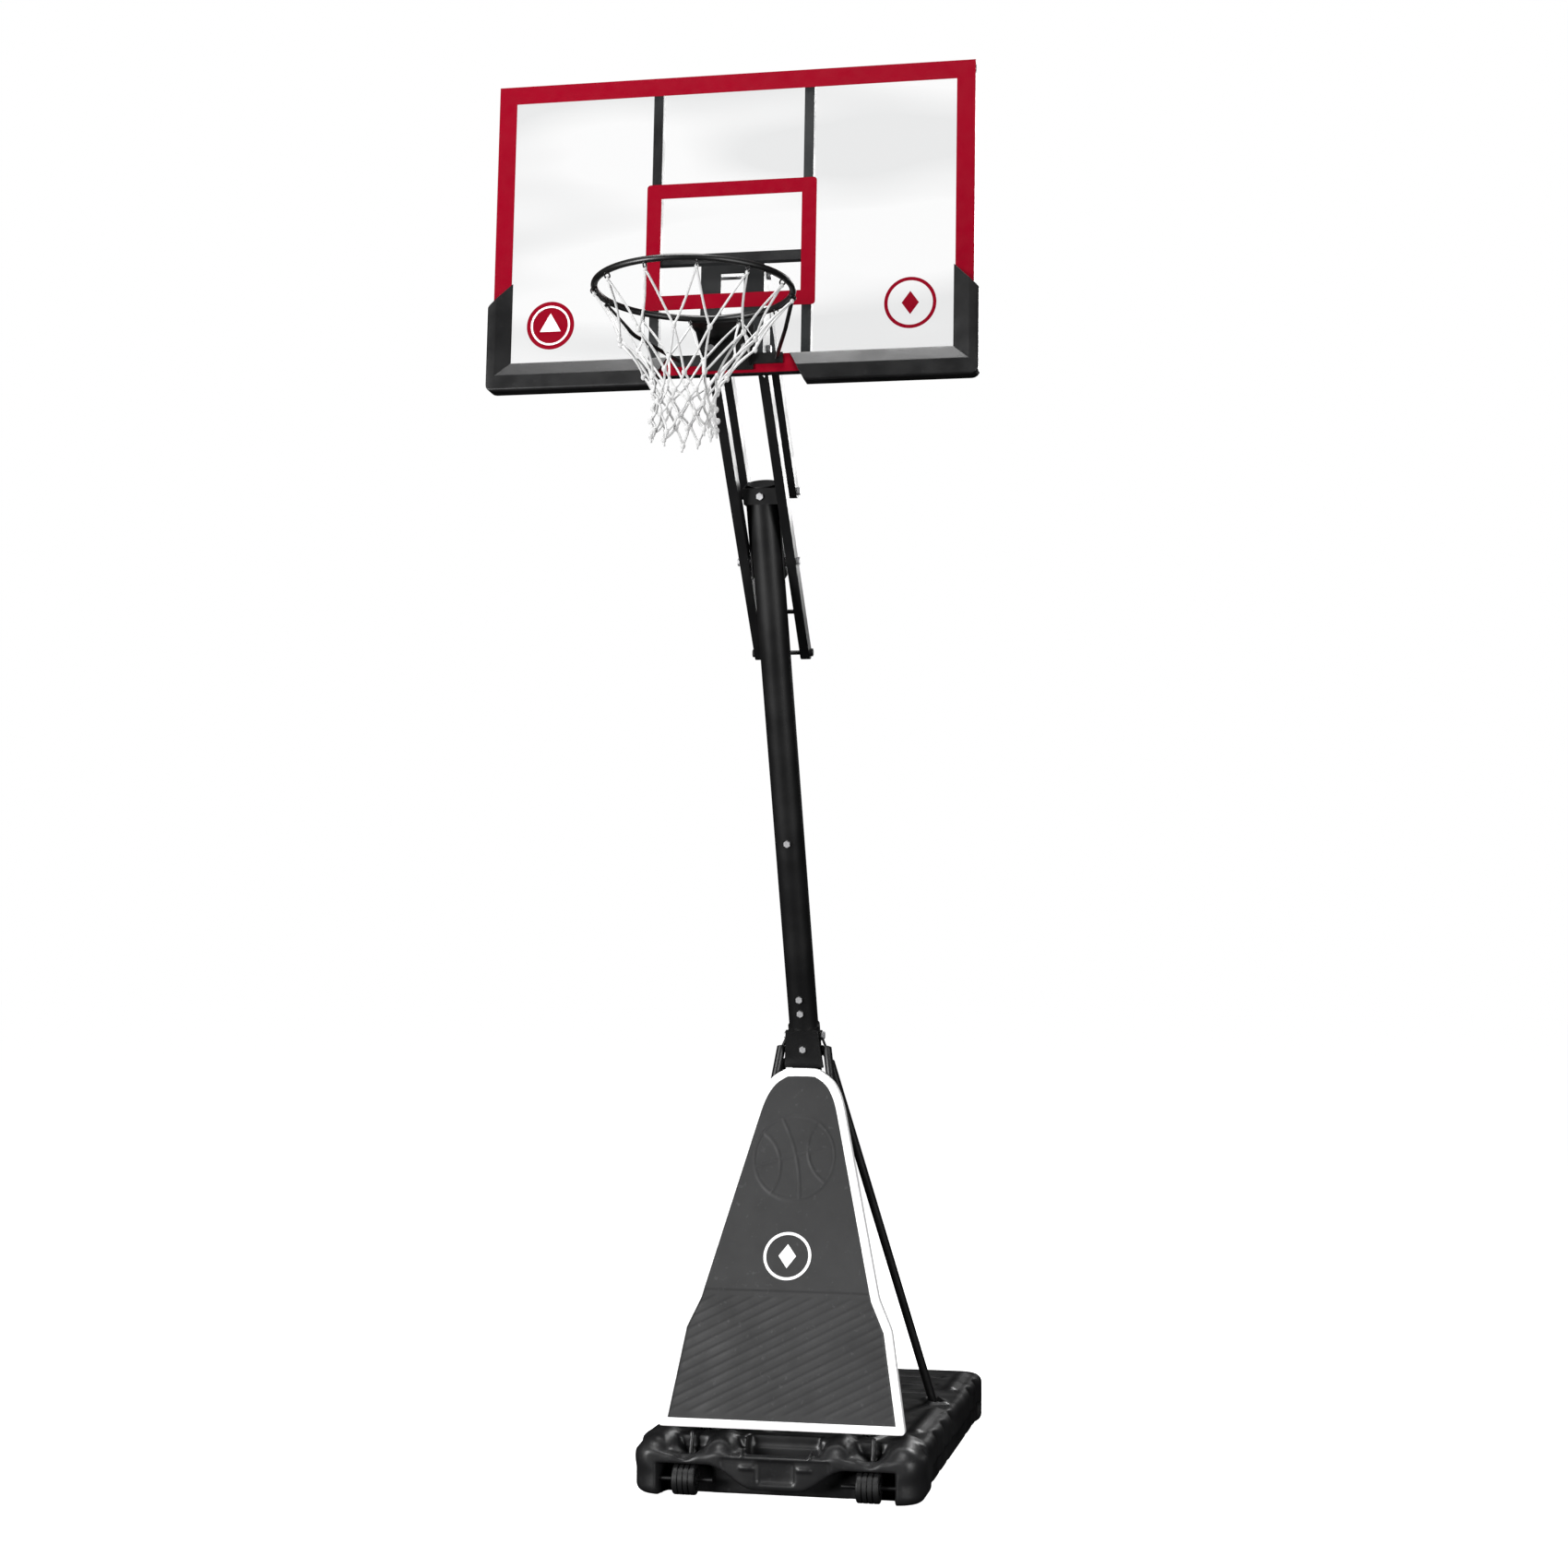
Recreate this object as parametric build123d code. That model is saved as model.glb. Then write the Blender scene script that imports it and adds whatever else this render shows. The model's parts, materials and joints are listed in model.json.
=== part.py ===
from build123d import *
import os
from math import sin, cos, radians

# Portable basketball hoop.  Millimetres and degrees.  +Z is up, the ring faces -Y, and X is the width.
# The origin is on the floor, right under the pole's foot axle.

# ------------------------------------------------------------------ driving dimensions: base
BASE_HALF_W = 404
BASE_FRONT_Y = -895
BASE_REAR_Y = 515
BASE_H = 150
LOBE_H = 168
LOBE_DEPTH = 165
LOBE_INSET = 4
LOBE_INNER_X = 112
LIP_H = 116
LIP_DEPTH = 46
NOTCH_HALF_W = 62
NOTCH_FLOOR_H = 101
SHELL = 6
FOOT_Z = 120
WELL_HALF_W = 62
WELL_FRONT_Y = -85
WELL_REAR_Y = 70
WELL_FLOOR_H = 62

# ------------------------------------------------------------------ driving dimensions: wheels
WHEEL_X = 255
WHEEL_Y = -866
WHEEL_R = 42
WHEEL_W = 64
WHEEL_LIFT = 2
ARCH_HALF_W = 62
ARCH_R = 49
ARCH_MOUTH_H = 70
AXLE_R = 6

# ------------------------------------------------------------------ driving dimensions: pole
POLE_LEAN = 23.8
POLE_R = 42
POLE_WALL = 3
POLE_LEN = 2864
LOW_JOINT_S = 1270
HIGH_JOINT_S = 1760
JOINT_OVERLAP = 120
COLLAR_S = 1211
COLLAR_HALF_L = 58
COLLAR_T = 4
COLLAR_WING = (46, 57)
STRUT_BOLT_GAP = 24
FIT = 0.05

# ------------------------------------------------------------------ driving dimensions: struts
STRUT_R = 12.7
STRUT_WALL = 1.8
TAB_T = 5
REAR_FOOT = (328, -100, 132)
FRONT_FOOT = (236, -700, 132)
STRUT_TOP_X = 62

# ------------------------------------------------------------------ driving dimensions: shield
SHIELD_Z = (177, 547, 1156)
SHIELD_Y = (-820, -748, -538)
SHIELD_BOTTOM_HALF_W = 347
SHIELD_FLARE_HALF_W = 300
SHIELD_FLARE_Z = 450
SHIELD_WAIST_HALF_W = 262
SHIELD_WAIST_Z = 532
SHIELD_ARCH_Z = 1020
SHIELD_ARCH_HALF_W = 137
SHIELD_SIDE_SLOPE = 0.256
ARCH_STEPS = (0, 0.3, 0.5, 0.66, 0.79, 0.89, 0.96)
SHIELD_WALL = 4
SHIELD_FLANGE = 26
TRIM_W = 23
TRIM_T = 1.6

# ------------------------------------------------------------------ driving dimensions: lift arms
ARM_ANGLE = 42
ARM_LEN = 645
ARM_TAIL = 303
ARM_W = 26
ARM_H = 38
ARM_X = 64.5
ARM_WALL = 2
PIVOT_Y = -1062
PIVOT_Z = 2546
PIVOT_GAP = 191
BOLT_R = 6
PLATE_T = 4
TOP_WEB_H = 44
TOP_PLATE_FRONT = 14
CAP_PLUG = 10
CAP_T = 3

# ------------------------------------------------------------------ driving dimensions: height lock
LOCK_R = 165
LOCK_SWEEP = 60
LOCK_NOTCH_STEP = 15
FIN_R = 186
FIN_T = 6
LOCK_GAP = 0.3
LOCK_BLOCK = (156, 208)
LOCK_BLOCK_HALF_T = 15
LOCK_BLOCK_HALF_W = 12
LOCK_SCREW_R = 4

# ------------------------------------------------------------------ driving dimensions: backboard
BOARD_TILT = 3
BOARD_Y = -1588
BOARD_Z = 3040
SHEET_HALF_W = 622.5
SHEET_TOP = 690
SHEET_BOTTOM = -97
SHEET_T = 6
PRINT_T = 0.6
BORDER_W = 47
TARGET_HALF_W = 221
TARGET_TOP = 406
TARGET_BOTTOM = 74
TARGET_BAR = 38
TUBE = 25
TUBE_WALL = 2
UPRIGHT_X = 197.5
CROSS_BAR_Z = 208
BRACKET_PLATE_X = 80.5

# ------------------------------------------------------------------ driving dimensions: pads
PAD_HALF_W = 636
PAD_BOTTOM = -124
PAD_SIDE_TOP = 160
PAD_INNER_X = 572
PAD_INNER_Z = -49
PAD_FRONT = 14
PAD_GAP_HALF_W = 178

# ------------------------------------------------------------------ driving dimensions: ring and net
RING_BORE_R = 228.6
RING_ROD_R = 8
RING_REACH = 387
RING_BOLT_R = 5
HOOKS = 12
NET_LEN = 392
NET_NECK_R = 84
NET_WALL = 5

RING_R = RING_BORE_R + RING_ROD_R
LEAN_S = sin(radians(POLE_LEAN))
LEAN_C = cos(radians(POLE_LEAN))


# ------------------------------------------------------------------ helpers
def block(x0, x1, y0, y1, z0, z1):
    """A box given by its limits."""
    return Pos((x0 + x1) / 2, (y0 + y1) / 2, (z0 + z1) / 2) * Box(x1 - x0, y1 - y0, z1 - z0)


def rod(start, end, radius, bore=0):
    """A round bar from start to end, or a tube when it has a bore."""
    start = Vector(*start)
    end = Vector(*end)
    plane = Plane(origin=start, z_dir=end - start)
    profile = Circle(radius)
    if bore:
        profile -= Circle(bore)
    return extrude(plane * profile, (end - start).length)


def on_pole(s, off=0, x=0):
    """The point at distance s up the pole from its foot axle, and off behind its axis."""
    return (x, -s * LEAN_S + off * LEAN_C, FOOT_Z + s * LEAN_C + off * LEAN_S)


def polar(origin, length, angle):
    """A (y, z) point at a length from origin, leaning forward from vertical by an angle."""
    return (origin[0] - length * sin(radians(angle)), origin[1] + length * cos(radians(angle)))


def side_profile(points, x0, x1):
    """A polygon of (y, z) points, extruded from x0 to x1."""
    wire = Polyline([(x0, y, z) for y, z in points], close=True)
    return extrude(make_face(wire), x1 - x0, dir=(1, 0, 0))


def front_profile(points, y0, y1, rounding=0):
    """A polygon of (x, z) points, extruded from y0 to y1, with rounded corners."""
    face = make_face(Polyline([(x, y0, z) for x, z in points], close=True))
    if rounding:
        face = fillet(face.vertices(), rounding)
    return extrude(face, y1 - y0, dir=(0, 1, 0))


def hex_nut(across_flats, thickness, bore):
    """A plain hexagonal nut on the Z axis, from z = 0 up."""
    nut = extrude(RegularPolygon(across_flats / 2, 6, major_radius=False), thickness)
    if bore:
        nut -= extrude(Circle(bore), thickness)
    return nut


def bolt_between(start, end, radius, head_flats, head_t):
    """A bolt whose shank runs from start to end, with a hexagonal head and nut outside those points."""
    start = Vector(*start)
    end = Vector(*end)
    length = (end - start).length
    shank = extrude(Circle(radius), length)
    head = Pos(0, 0, -head_t) * hex_nut(head_flats, head_t, 0)
    nut = Pos(0, 0, length) * hex_nut(head_flats, head_t, 0)
    return Plane(origin=start, z_dir=end - start).location * (shank + head + nut)


def board_place(shape):
    """Moves a shape from the board's own frame (y = 0 front face, z = 0 ring plane) to its place."""
    return Pos(0, BOARD_Y, BOARD_Z) * Rot(-BOARD_TILT, 0, 0) * shape


def to_board(y, z):
    """The (y, z) of a point in the board's own frame."""
    t = radians(BOARD_TILT)
    dy = y - BOARD_Y
    dz = z - BOARD_Z
    return (dy * cos(t) - dz * sin(t), dy * sin(t) + dz * cos(t))


def save(name, shape):
    """Writes one sub-part as a STEP file."""
    export_step(shape, "parts/" + name + ".step")


# ------------------------------------------------------------------ shared points
LOW_PIVOT = (PIVOT_Y, PIVOT_Z)
HIGH_PIVOT = (PIVOT_Y, PIVOT_Z + PIVOT_GAP)
LOW_BOARD_PIVOT = polar(LOW_PIVOT, ARM_LEN, ARM_ANGLE)
HIGH_BOARD_PIVOT = polar(HIGH_PIVOT, ARM_LEN, ARM_ANGLE)
TAIL_PIVOT = polar(LOW_PIVOT, -ARM_TAIL, ARM_ANGLE)
WHEEL_Z = WHEEL_R + WHEEL_LIFT
TOP_BOLT_S = POLE_LEN - 21
BOLT_STATIONS = (COLLAR_S, LOW_JOINT_S + 52, LOW_JOINT_S + 96, HIGH_JOINT_S + 85, TOP_BOLT_S)
RING_BOLTS = ((-44, -32), (44, -32), (-44, 12), (44, 12))
SIDES = {"left": -1, "right": 1}


# ------------------------------------------------------------------ base
def base_outer():
    """The outside of the moulded tank: a low slab with two raised front lobes."""
    length = BASE_REAR_Y - BASE_FRONT_Y
    plan = Pos(0, (BASE_REAR_Y + BASE_FRONT_Y) / 2) * RectangleRounded(2 * BASE_HALF_W, length, 78)
    slab = extrude(plan, BASE_H)
    slab = fillet(slab.faces().sort_by(Axis.Z)[-1].edges(), 26)
    lobe_plan = RectangleRounded(BASE_HALF_W - LOBE_INSET - LOBE_INNER_X, LOBE_DEPTH, 70)
    for side in SIDES.values():
        centre_x = side * (BASE_HALF_W - LOBE_INSET + LOBE_INNER_X) / 2
        lobe = extrude(Pos(centre_x, BASE_FRONT_Y + LOBE_INSET + LOBE_DEPTH / 2) * lobe_plan, LOBE_H)
        lobe = fillet(lobe.faces().sort_by(Axis.Z)[-1].edges(), 28)
        slab += lobe
    return slab


def front_cuts():
    """What is taken from the tank's front: lip recess, V notches and wheel arches."""
    back = BASE_FRONT_Y + LOBE_DEPTH + LOBE_INSET
    cuts = block(-LOBE_INNER_X, LOBE_INNER_X, BASE_FRONT_Y - 5, back, LIP_H, LOBE_H + 5)
    cuts += block(8 - LOBE_INNER_X, LOBE_INNER_X - 8, BASE_FRONT_Y + LIP_DEPTH, back, 84, LOBE_H + 5)
    for side in SIDES.values():
        x = side * WHEEL_X
        notch = [(x - NOTCH_HALF_W, LOBE_H + 5), (x, NOTCH_FLOOR_H), (x + NOTCH_HALF_W, LOBE_H + 5)]
        cuts += front_profile(notch, BASE_FRONT_Y - 5, BASE_FRONT_Y + 96)
        arch_x = (x - ARCH_HALF_W, x + ARCH_HALF_W)
        arch = rod((arch_x[0], WHEEL_Y, WHEEL_Z), (arch_x[1], WHEEL_Y, WHEEL_Z), ARCH_R)
        arch += block(*arch_x, BASE_FRONT_Y - 30, WHEEL_Y, -5, ARCH_MOUTH_H)
        arch += block(*arch_x, WHEEL_Y - 5, WHEEL_Y + ARCH_R, -5, WHEEL_Z)
        cuts += arch
    return cuts


def strut_axes():
    """Start and end points of the four struts, keyed by name."""
    axes = {}
    for word, side in SIDES.items():
        for where, foot, gap in (
            ("rear", REAR_FOOT, -STRUT_BOLT_GAP),
            ("front", FRONT_FOOT, STRUT_BOLT_GAP),
        ):
            top = on_pole(COLLAR_S + gap, 0, side * STRUT_TOP_X)
            axes[where + "_strut_" + word] = (top, (side * foot[0], foot[1], foot[2]))
    return axes


def foot_well():
    """The recess in the tank's top that holds the pole's foot."""
    return block(-WELL_HALF_W, WELL_HALF_W, WELL_FRONT_Y, WELL_REAR_Y, WELL_FLOOR_H, LOBE_H)


def fill_space():
    """The space inside the tank, clear of the foot well, the strut pockets and the cap."""
    x = BASE_HALF_W - 24
    space = block(-x, x, BASE_FRONT_Y + LOBE_DEPTH + 20, BASE_REAR_Y - 24, SHELL, BASE_H - 12)
    m = 10
    well_x = WELL_HALF_W + 26
    space -= block(-well_x, well_x, WELL_FRONT_Y - m, WELL_REAR_Y + m, WELL_FLOOR_H - m, BASE_H)
    for top, foot in strut_axes().values():
        space -= block(foot[0] - 34, foot[0] + 34, foot[1] - 34, foot[1] + 34, 96, BASE_H)
    return space


def cap_point():
    """Centre of the filler neck on the tank's top."""
    return (-338, 300)


def base_tank():
    """The blow-moulded tank with its recesses, pockets and filler hole."""
    tank = base_outer() - front_cuts() - foot_well()
    for x0, x1 in ((-300, -95), (95, 300)):
        for y in (60, 210, 360):
            tank -= Pos(0, y, BASE_H + 7) * Pos((x0 + x1) / 2, 0, 0) * Box(x1 - x0, 26, 26)
    for top, foot in strut_axes().values():
        tank -= rod(foot, top, STRUT_R)
    tank -= rod((-84, 0, FOOT_Z), (84, 0, FOOT_Z), AXLE_R)
    for side in SIDES.values():
        reach = ARCH_HALF_W + 14
        x = side * WHEEL_X
        tank -= rod((x - reach, WHEEL_Y, WHEEL_Z), (x + reach, WHEEL_Y, WHEEL_Z), AXLE_R)
    tank -= fill_space()
    cx, cy = cap_point()
    tank -= Pos(cx, cy, BASE_H - 12) * Cylinder(22, 60)
    return tank


def ballast_water():
    """The water or sand that fills the tank to just under the filler neck."""
    return fill_space() & block(-500, 500, -1000, 1000, 0, BASE_H - 16)


def filler_cap():
    """A screw cap: a plug in the neck, a knurled flange on the tank, and a grip bar."""
    cx, cy = cap_point()
    cap = Pos(0, 0, -5) * Cylinder(21.7, 12)
    cap += Pos(0, 0, 4.3) * Cylinder(30, 8)
    for i in range(24):
        cap -= Rot(0, 0, i * 15) * Pos(30.5, 0, 4.3) * Cylinder(1.6, 9)
    cap += Pos(0, 0, 11) * Box(44, 8, 8)
    return Pos(cx, cy, BASE_H) * cap


def wheel_axles():
    """Two plain axles across the wheel arches."""
    reach = ARCH_HALF_W + 14
    axles = []
    for side in SIDES.values():
        x = side * WHEEL_X
        axles.append(rod((x - reach, WHEEL_Y, WHEEL_Z), (x + reach, WHEEL_Y, WHEEL_Z), AXLE_R))
    return Compound(children=axles)


def wheel(side):
    """A moulded wheel with a grooved tread and dished sides."""
    body = Cylinder(WHEEL_R, WHEEL_W)
    body = fillet(body.edges().filter_by(GeomType.CIRCLE), 5)
    for z in (-15, 0, 15):
        body -= Pos(0, 0, z) * (Cylinder(WHEEL_R + 2, 4) - Cylinder(WHEEL_R - 3, 4))
    for z in (-WHEEL_W / 2, WHEEL_W / 2):
        body -= Pos(0, 0, z) * (Cylinder(31, 24) - Cylinder(14, 24))
    body -= Cylinder(AXLE_R + FIT, WHEEL_W + 2)
    return Pos(side * WHEEL_X, WHEEL_Y, WHEEL_Z) * Rot(0, 90, 0) * body


# ------------------------------------------------------------------ pole
def pole_holes():
    """Cross holes for the bolts that run from front to back through the pole."""
    holes = []
    for s in BOLT_STATIONS:
        holes.append(rod(on_pole(s, -60), on_pole(s, 60), BOLT_R))
    return holes


def pole_tube(s0, s1, r, wall):
    """A length of pole tube from s0 to s1."""
    return rod(on_pole(s0), on_pole(s1), r, r - wall)


def strut_bolt_holes():
    """The two cross holes at the collar for the strut bolts."""
    holes = []
    for gap in (-STRUT_BOLT_GAP, STRUT_BOLT_GAP):
        holes.append(rod(on_pole(COLLAR_S + gap, 0, -120), on_pole(COLLAR_S + gap, 0, 120), BOLT_R))
    return holes


def pole_section(s0, s1, has_neck):
    """A length of pole tube; a neck is swaged down at its top to go inside the next section."""
    tube = pole_tube(s0, s1, POLE_R, POLE_WALL)
    if has_neck:
        tube += pole_tube(s1, s1 + JOINT_OVERLAP, POLE_R - POLE_WALL, POLE_WALL)
        tube += pole_tube(s1 - 8, s1, POLE_R, 2 * POLE_WALL)
    for hole in pole_holes():
        tube -= hole
    return tube


def pole_lower():
    """The lower section, from the foot to just above the collar."""
    tube = pole_section(-30, LOW_JOINT_S, True)
    tube -= rod((-60, 0, FOOT_Z), (60, 0, FOOT_Z), AXLE_R)
    for hole in strut_bolt_holes():
        tube -= hole
    return tube


def pole_upper():
    """The upper section, which carries the arms and the height lock."""
    return pole_section(HIGH_JOINT_S, POLE_LEN, False) - rod((-60, *LOW_PIVOT), (60, *LOW_PIVOT), BOLT_R)


def pole_foot_axle():
    """The axle that pins the pole's foot in the tank's well."""
    return rod((-84, 0, FOOT_Z), (84, 0, FOOT_Z), AXLE_R)


def pole_top_cap():
    """A plastic plug with a thin rim that closes the pole's top."""
    plug = rod(on_pole(POLE_LEN - CAP_PLUG), on_pole(POLE_LEN), POLE_R - POLE_WALL)
    return plug + rod(on_pole(POLE_LEN), on_pole(POLE_LEN + CAP_T), POLE_R)


def pole_bolts():
    """Bolts through the pole from front to back: collar, joints and top bracket."""
    bolts = []
    for s in BOLT_STATIONS:
        front = POLE_R
        rear = POLE_R
        if s == COLLAR_S:
            front = POLE_R + COLLAR_T
            rear = POLE_R + COLLAR_T
        if s == TOP_BOLT_S:
            front = POLE_R + PLATE_T
        bolts.append(bolt_between(on_pole(s, -front), on_pole(s, rear), BOLT_R, 17, 6))
    return Compound(children=bolts)


def strut_collar():
    """The steel sleeve around the pole that the struts bolt to."""
    low = on_pole(COLLAR_S - COLLAR_HALF_L)
    collar = rod(low, on_pole(COLLAR_S + COLLAR_HALF_L), POLE_R + COLLAR_T, POLE_R)
    top = COLLAR_S + COLLAR_HALF_L
    bottom = COLLAR_S - COLLAR_HALF_L
    front = -POLE_R - COLLAR_T
    wing = [on_pole(top, front, COLLAR_WING[0]), on_pole(bottom, front, COLLAR_WING[1])]
    wing += [on_pole(bottom, front, -COLLAR_WING[1]), on_pole(top, front, -COLLAR_WING[0])]
    plate = extrude(make_face(Polyline(wing, close=True)), 2 * COLLAR_T, dir=(0, LEAN_C, LEAN_S))
    collar += plate - rod(low, on_pole(top), POLE_R + COLLAR_T / 2)
    collar -= rod(on_pole(COLLAR_S, -60), on_pole(COLLAR_S, 60), BOLT_R)
    for hole in strut_bolt_holes():
        collar -= hole
    return collar


def strut(top, foot):
    """A tube from the tank to the collar with a flattened top that takes the collar bolt."""
    side = 1 if foot[0] > 0 else -1
    inner = POLE_R + COLLAR_T
    bolt_line = top[1:]
    tube = rod(foot, top, STRUT_R, STRUT_R - STRUT_WALL)
    tube -= rod((side * 30, *bolt_line), (side * 120, *bolt_line), 34)
    down = (Vector(*foot) - Vector(*top)).normalized()
    start = Vector(side * (inner + TAB_T / 2), *bolt_line)
    end = Vector(*top) + down * 48
    neck_plane = Plane(start, x_dir=(1, 0, 0), z_dir=end - start)
    neck = extrude(neck_plane * Rectangle(TAB_T, 22), (end - start).length)
    tube = tube + rod((side * inner, *bolt_line), (side * (inner + TAB_T), *bolt_line), 15) + neck
    tube -= rod((side * (inner + TAB_T), *bolt_line), (side * 120, *bolt_line), 13)
    return tube - rod((side * 30, *bolt_line), (side * 120, *bolt_line), BOLT_R)


def collar_bolts():
    """The two long bolts through the collar, the pole and the strut ends."""
    reach = POLE_R + COLLAR_T + TAB_T
    bolts = []
    for gap in (-STRUT_BOLT_GAP, STRUT_BOLT_GAP):
        ends = (on_pole(COLLAR_S + gap, 0, -reach), on_pole(COLLAR_S + gap, 0, reach))
        bolts.append(bolt_between(*ends, BOLT_R, 19, 8))
    return Compound(children=bolts)


# ------------------------------------------------------------------ shield
def shield_outline():
    """The shield's front outline as (x, z) corners, with an arched top."""
    right = [
        (SHIELD_BOTTOM_HALF_W, SHIELD_Z[0]),
        (SHIELD_FLARE_HALF_W, SHIELD_FLARE_Z),
        (SHIELD_WAIST_HALF_W, SHIELD_WAIST_Z),
    ]
    rise = SHIELD_Z[2] - SHIELD_ARCH_Z
    for t in ARCH_STEPS:
        half_w = SHIELD_ARCH_HALF_W - SHIELD_SIDE_SLOPE * t * rise
        right.append((half_w * (1 - t**3) ** (1 / 3), SHIELD_ARCH_Z + t * rise))
    right.append((0.2 * SHIELD_ARCH_HALF_W, SHIELD_Z[2]))
    return right + [(-x, z) for x, z in reversed(right)]


def shield_slice(front, back):
    """The bent slab between two depths behind the shield's front face."""
    lo, mid, hi = (list(zip(SHIELD_Y, SHIELD_Z)))
    over = 60
    slope_lo = (mid[0] - lo[0]) / (mid[1] - lo[1])
    slope_hi = (hi[0] - mid[0]) / (hi[1] - mid[1])
    low = (lo[0] - slope_lo * over, lo[1] - over)
    high = (hi[0] + slope_hi * over, hi[1] + over)
    points = [(low[0] + front, low[1]), (mid[0] + front, mid[1]), (high[0] + front, high[1])]
    points += [(high[0] + back, high[1]), (mid[0] + back, mid[1]), (low[0] + back, low[1])]
    return side_profile(points, -BASE_HALF_W, BASE_HALF_W)


def shield_prism(inset):
    """The shield's outline, drawn in by an inset and extruded through its whole depth."""
    face = make_face(Polyline([(x, -950, z) for x, z in shield_outline()], close=True))
    if inset:
        face = offset(face, -inset, kind=Kind.INTERSECTION)
    return extrude(face, 550, dir=(0, 1, 0))


def front_shield():
    """The bent cover panel with a return flange all round."""
    face = shield_prism(0) & shield_slice(0, SHIELD_WALL)
    flange = (shield_prism(0) - shield_prism(SHIELD_WALL)) & shield_slice(0, SHIELD_FLANGE)
    shield = face + flange
    for name, (top, foot) in strut_axes().items():
        if name.startswith("front"):
            shield -= rod(foot, top, STRUT_R + 2)
    return shield


def shield_trim():
    """The raised light band round the shield's face."""
    band = shield_prism(0.5) - shield_prism(TRIM_W)
    return band & shield_slice(-TRIM_T, 0)


def shield_face_y(z):
    """The y of the shield's front face at a height."""
    i = 0 if z < SHIELD_Z[1] else 1
    t = (z - SHIELD_Z[i]) / (SHIELD_Z[i + 1] - SHIELD_Z[i])
    return SHIELD_Y[i] + t * (SHIELD_Y[i + 1] - SHIELD_Y[i])


def shield_clips():
    """Blocks that join the shield's back to the front struts."""
    clips = []
    for top, foot in (axes for name, axes in strut_axes().items() if name.startswith("front")):
        for z in (330, 760):
            t = (z - foot[2]) / (top[2] - foot[2])
            x = foot[0] + t * (top[0] - foot[0])
            y = foot[1] + t * (top[1] - foot[1])
            clip = block(x - 16, x + 16, shield_face_y(z) - 20, y + 4, z - 14, z + 14)
            clip = clip & shield_slice(SHIELD_WALL, 400)
            clips.append(clip - rod(foot, top, STRUT_R))
    return Compound(children=clips)


# ------------------------------------------------------------------ lift arms
def top_bracket():
    """Two side plates and a front web that wrap the pole's top and hold the arm pivots."""
    def corner(s, off):
        return on_pole(s, off)[1:]

    low_s = (PIVOT_Z - FOOT_Z) / LEAN_C
    web_s = POLE_LEN - TOP_WEB_H
    outline = [corner(low_s - 46, -TOP_PLATE_FRONT), corner(web_s - 12, -TOP_PLATE_FRONT)]
    outline += [corner(web_s, -POLE_R), corner(POLE_LEN, -POLE_R), corner(POLE_LEN, 34)]
    outline += [(HIGH_PIVOT[0] - 4, HIGH_PIVOT[1] + 24), (HIGH_PIVOT[0] + 24, HIGH_PIVOT[1] + 10)]
    outline += [(HIGH_PIVOT[0] + 26, HIGH_PIVOT[1] - 18), corner(low_s + 66, 38), corner(low_s - 46, 34)]
    bracket = None
    for side in SIDES.values():
        near = POLE_R if side > 0 else -POLE_R - PLATE_T
        plate = side_profile(outline, near, near + PLATE_T)
        bracket = plate if bracket is None else bracket + plate
    web_x = POLE_R + PLATE_T
    front = Vector(*on_pole(0, -1)) - Vector(*on_pole(0, 0))
    web_plane = Plane(on_pole(POLE_LEN - TOP_WEB_H / 2, -POLE_R), x_dir=(1, 0, 0), z_dir=front)
    bracket += extrude(web_plane * Rectangle(2 * web_x, TOP_WEB_H), PLATE_T)
    bracket -= rod((-70, *LOW_PIVOT), (70, *LOW_PIVOT), BOLT_R)
    bracket -= rod((-70, *HIGH_PIVOT), (70, *HIGH_PIVOT), BOLT_R)
    return bracket - rod(on_pole(TOP_BOLT_S, -60), on_pole(TOP_BOLT_S, 60), BOLT_R)


def arm_bar(x, ends, holes):
    """A box-section bar between two (y, z) ends, with rounded ends and round cross holes."""
    (y0, z0), (y1, z1) = ends
    length = ((y1 - y0) ** 2 + (z1 - z0) ** 2) ** 0.5
    middle = (x - ARM_W / 2, (y0 + y1) / 2, (z0 + z1) / 2)
    plane = Plane(origin=middle, x_dir=(0, y1 - y0, z1 - z0), z_dir=(1, 0, 0))
    bar = extrude(plane * SlotCenterToCenter(length, ARM_H), ARM_W)
    bore = extrude(plane * Rectangle(length - 60, ARM_H - 2 * ARM_WALL), ARM_W - 2 * ARM_WALL)
    bar -= Pos(ARM_WALL, 0, 0) * bore
    for hole in holes:
        bar -= rod((x - ARM_W, *hole[0]), (x + ARM_W, *hole[0]), hole[1])
    return bar


def long_arm(side):
    """A lower arm: from the board's lower pivot, past the pole, to the tail rod."""
    holes = ((LOW_BOARD_PIVOT, BOLT_R + FIT), (LOW_PIVOT, BOLT_R + FIT), (TAIL_PIVOT, BOLT_R))
    return arm_bar(side * ARM_X, (LOW_BOARD_PIVOT, TAIL_PIVOT), holes)


def short_arm(side):
    """An upper arm: from the board's upper pivot to the pole's top bracket."""
    holes = ((HIGH_BOARD_PIVOT, BOLT_R + 4 * FIT), (HIGH_PIVOT, BOLT_R + FIT))
    return arm_bar(side * ARM_X, (HIGH_BOARD_PIVOT, HIGH_PIVOT), holes)


def cross_bolt(point, reach):
    """A bolt along X through a (y, z) point."""
    return bolt_between((-reach, *point), (reach, *point), BOLT_R, 19, 8)


def pivot_spacers():
    """Washers between the pole's bracket plates and the arms."""
    inner = POLE_R + PLATE_T
    outer = ARM_X - ARM_W / 2 - 0.3
    spacers = []
    for point in (LOW_PIVOT, HIGH_PIVOT):
        for side in SIDES.values():
            spacers.append(rod((side * inner, *point), (side * outer, *point), 13, BOLT_R))
    return Compound(children=spacers)


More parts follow.
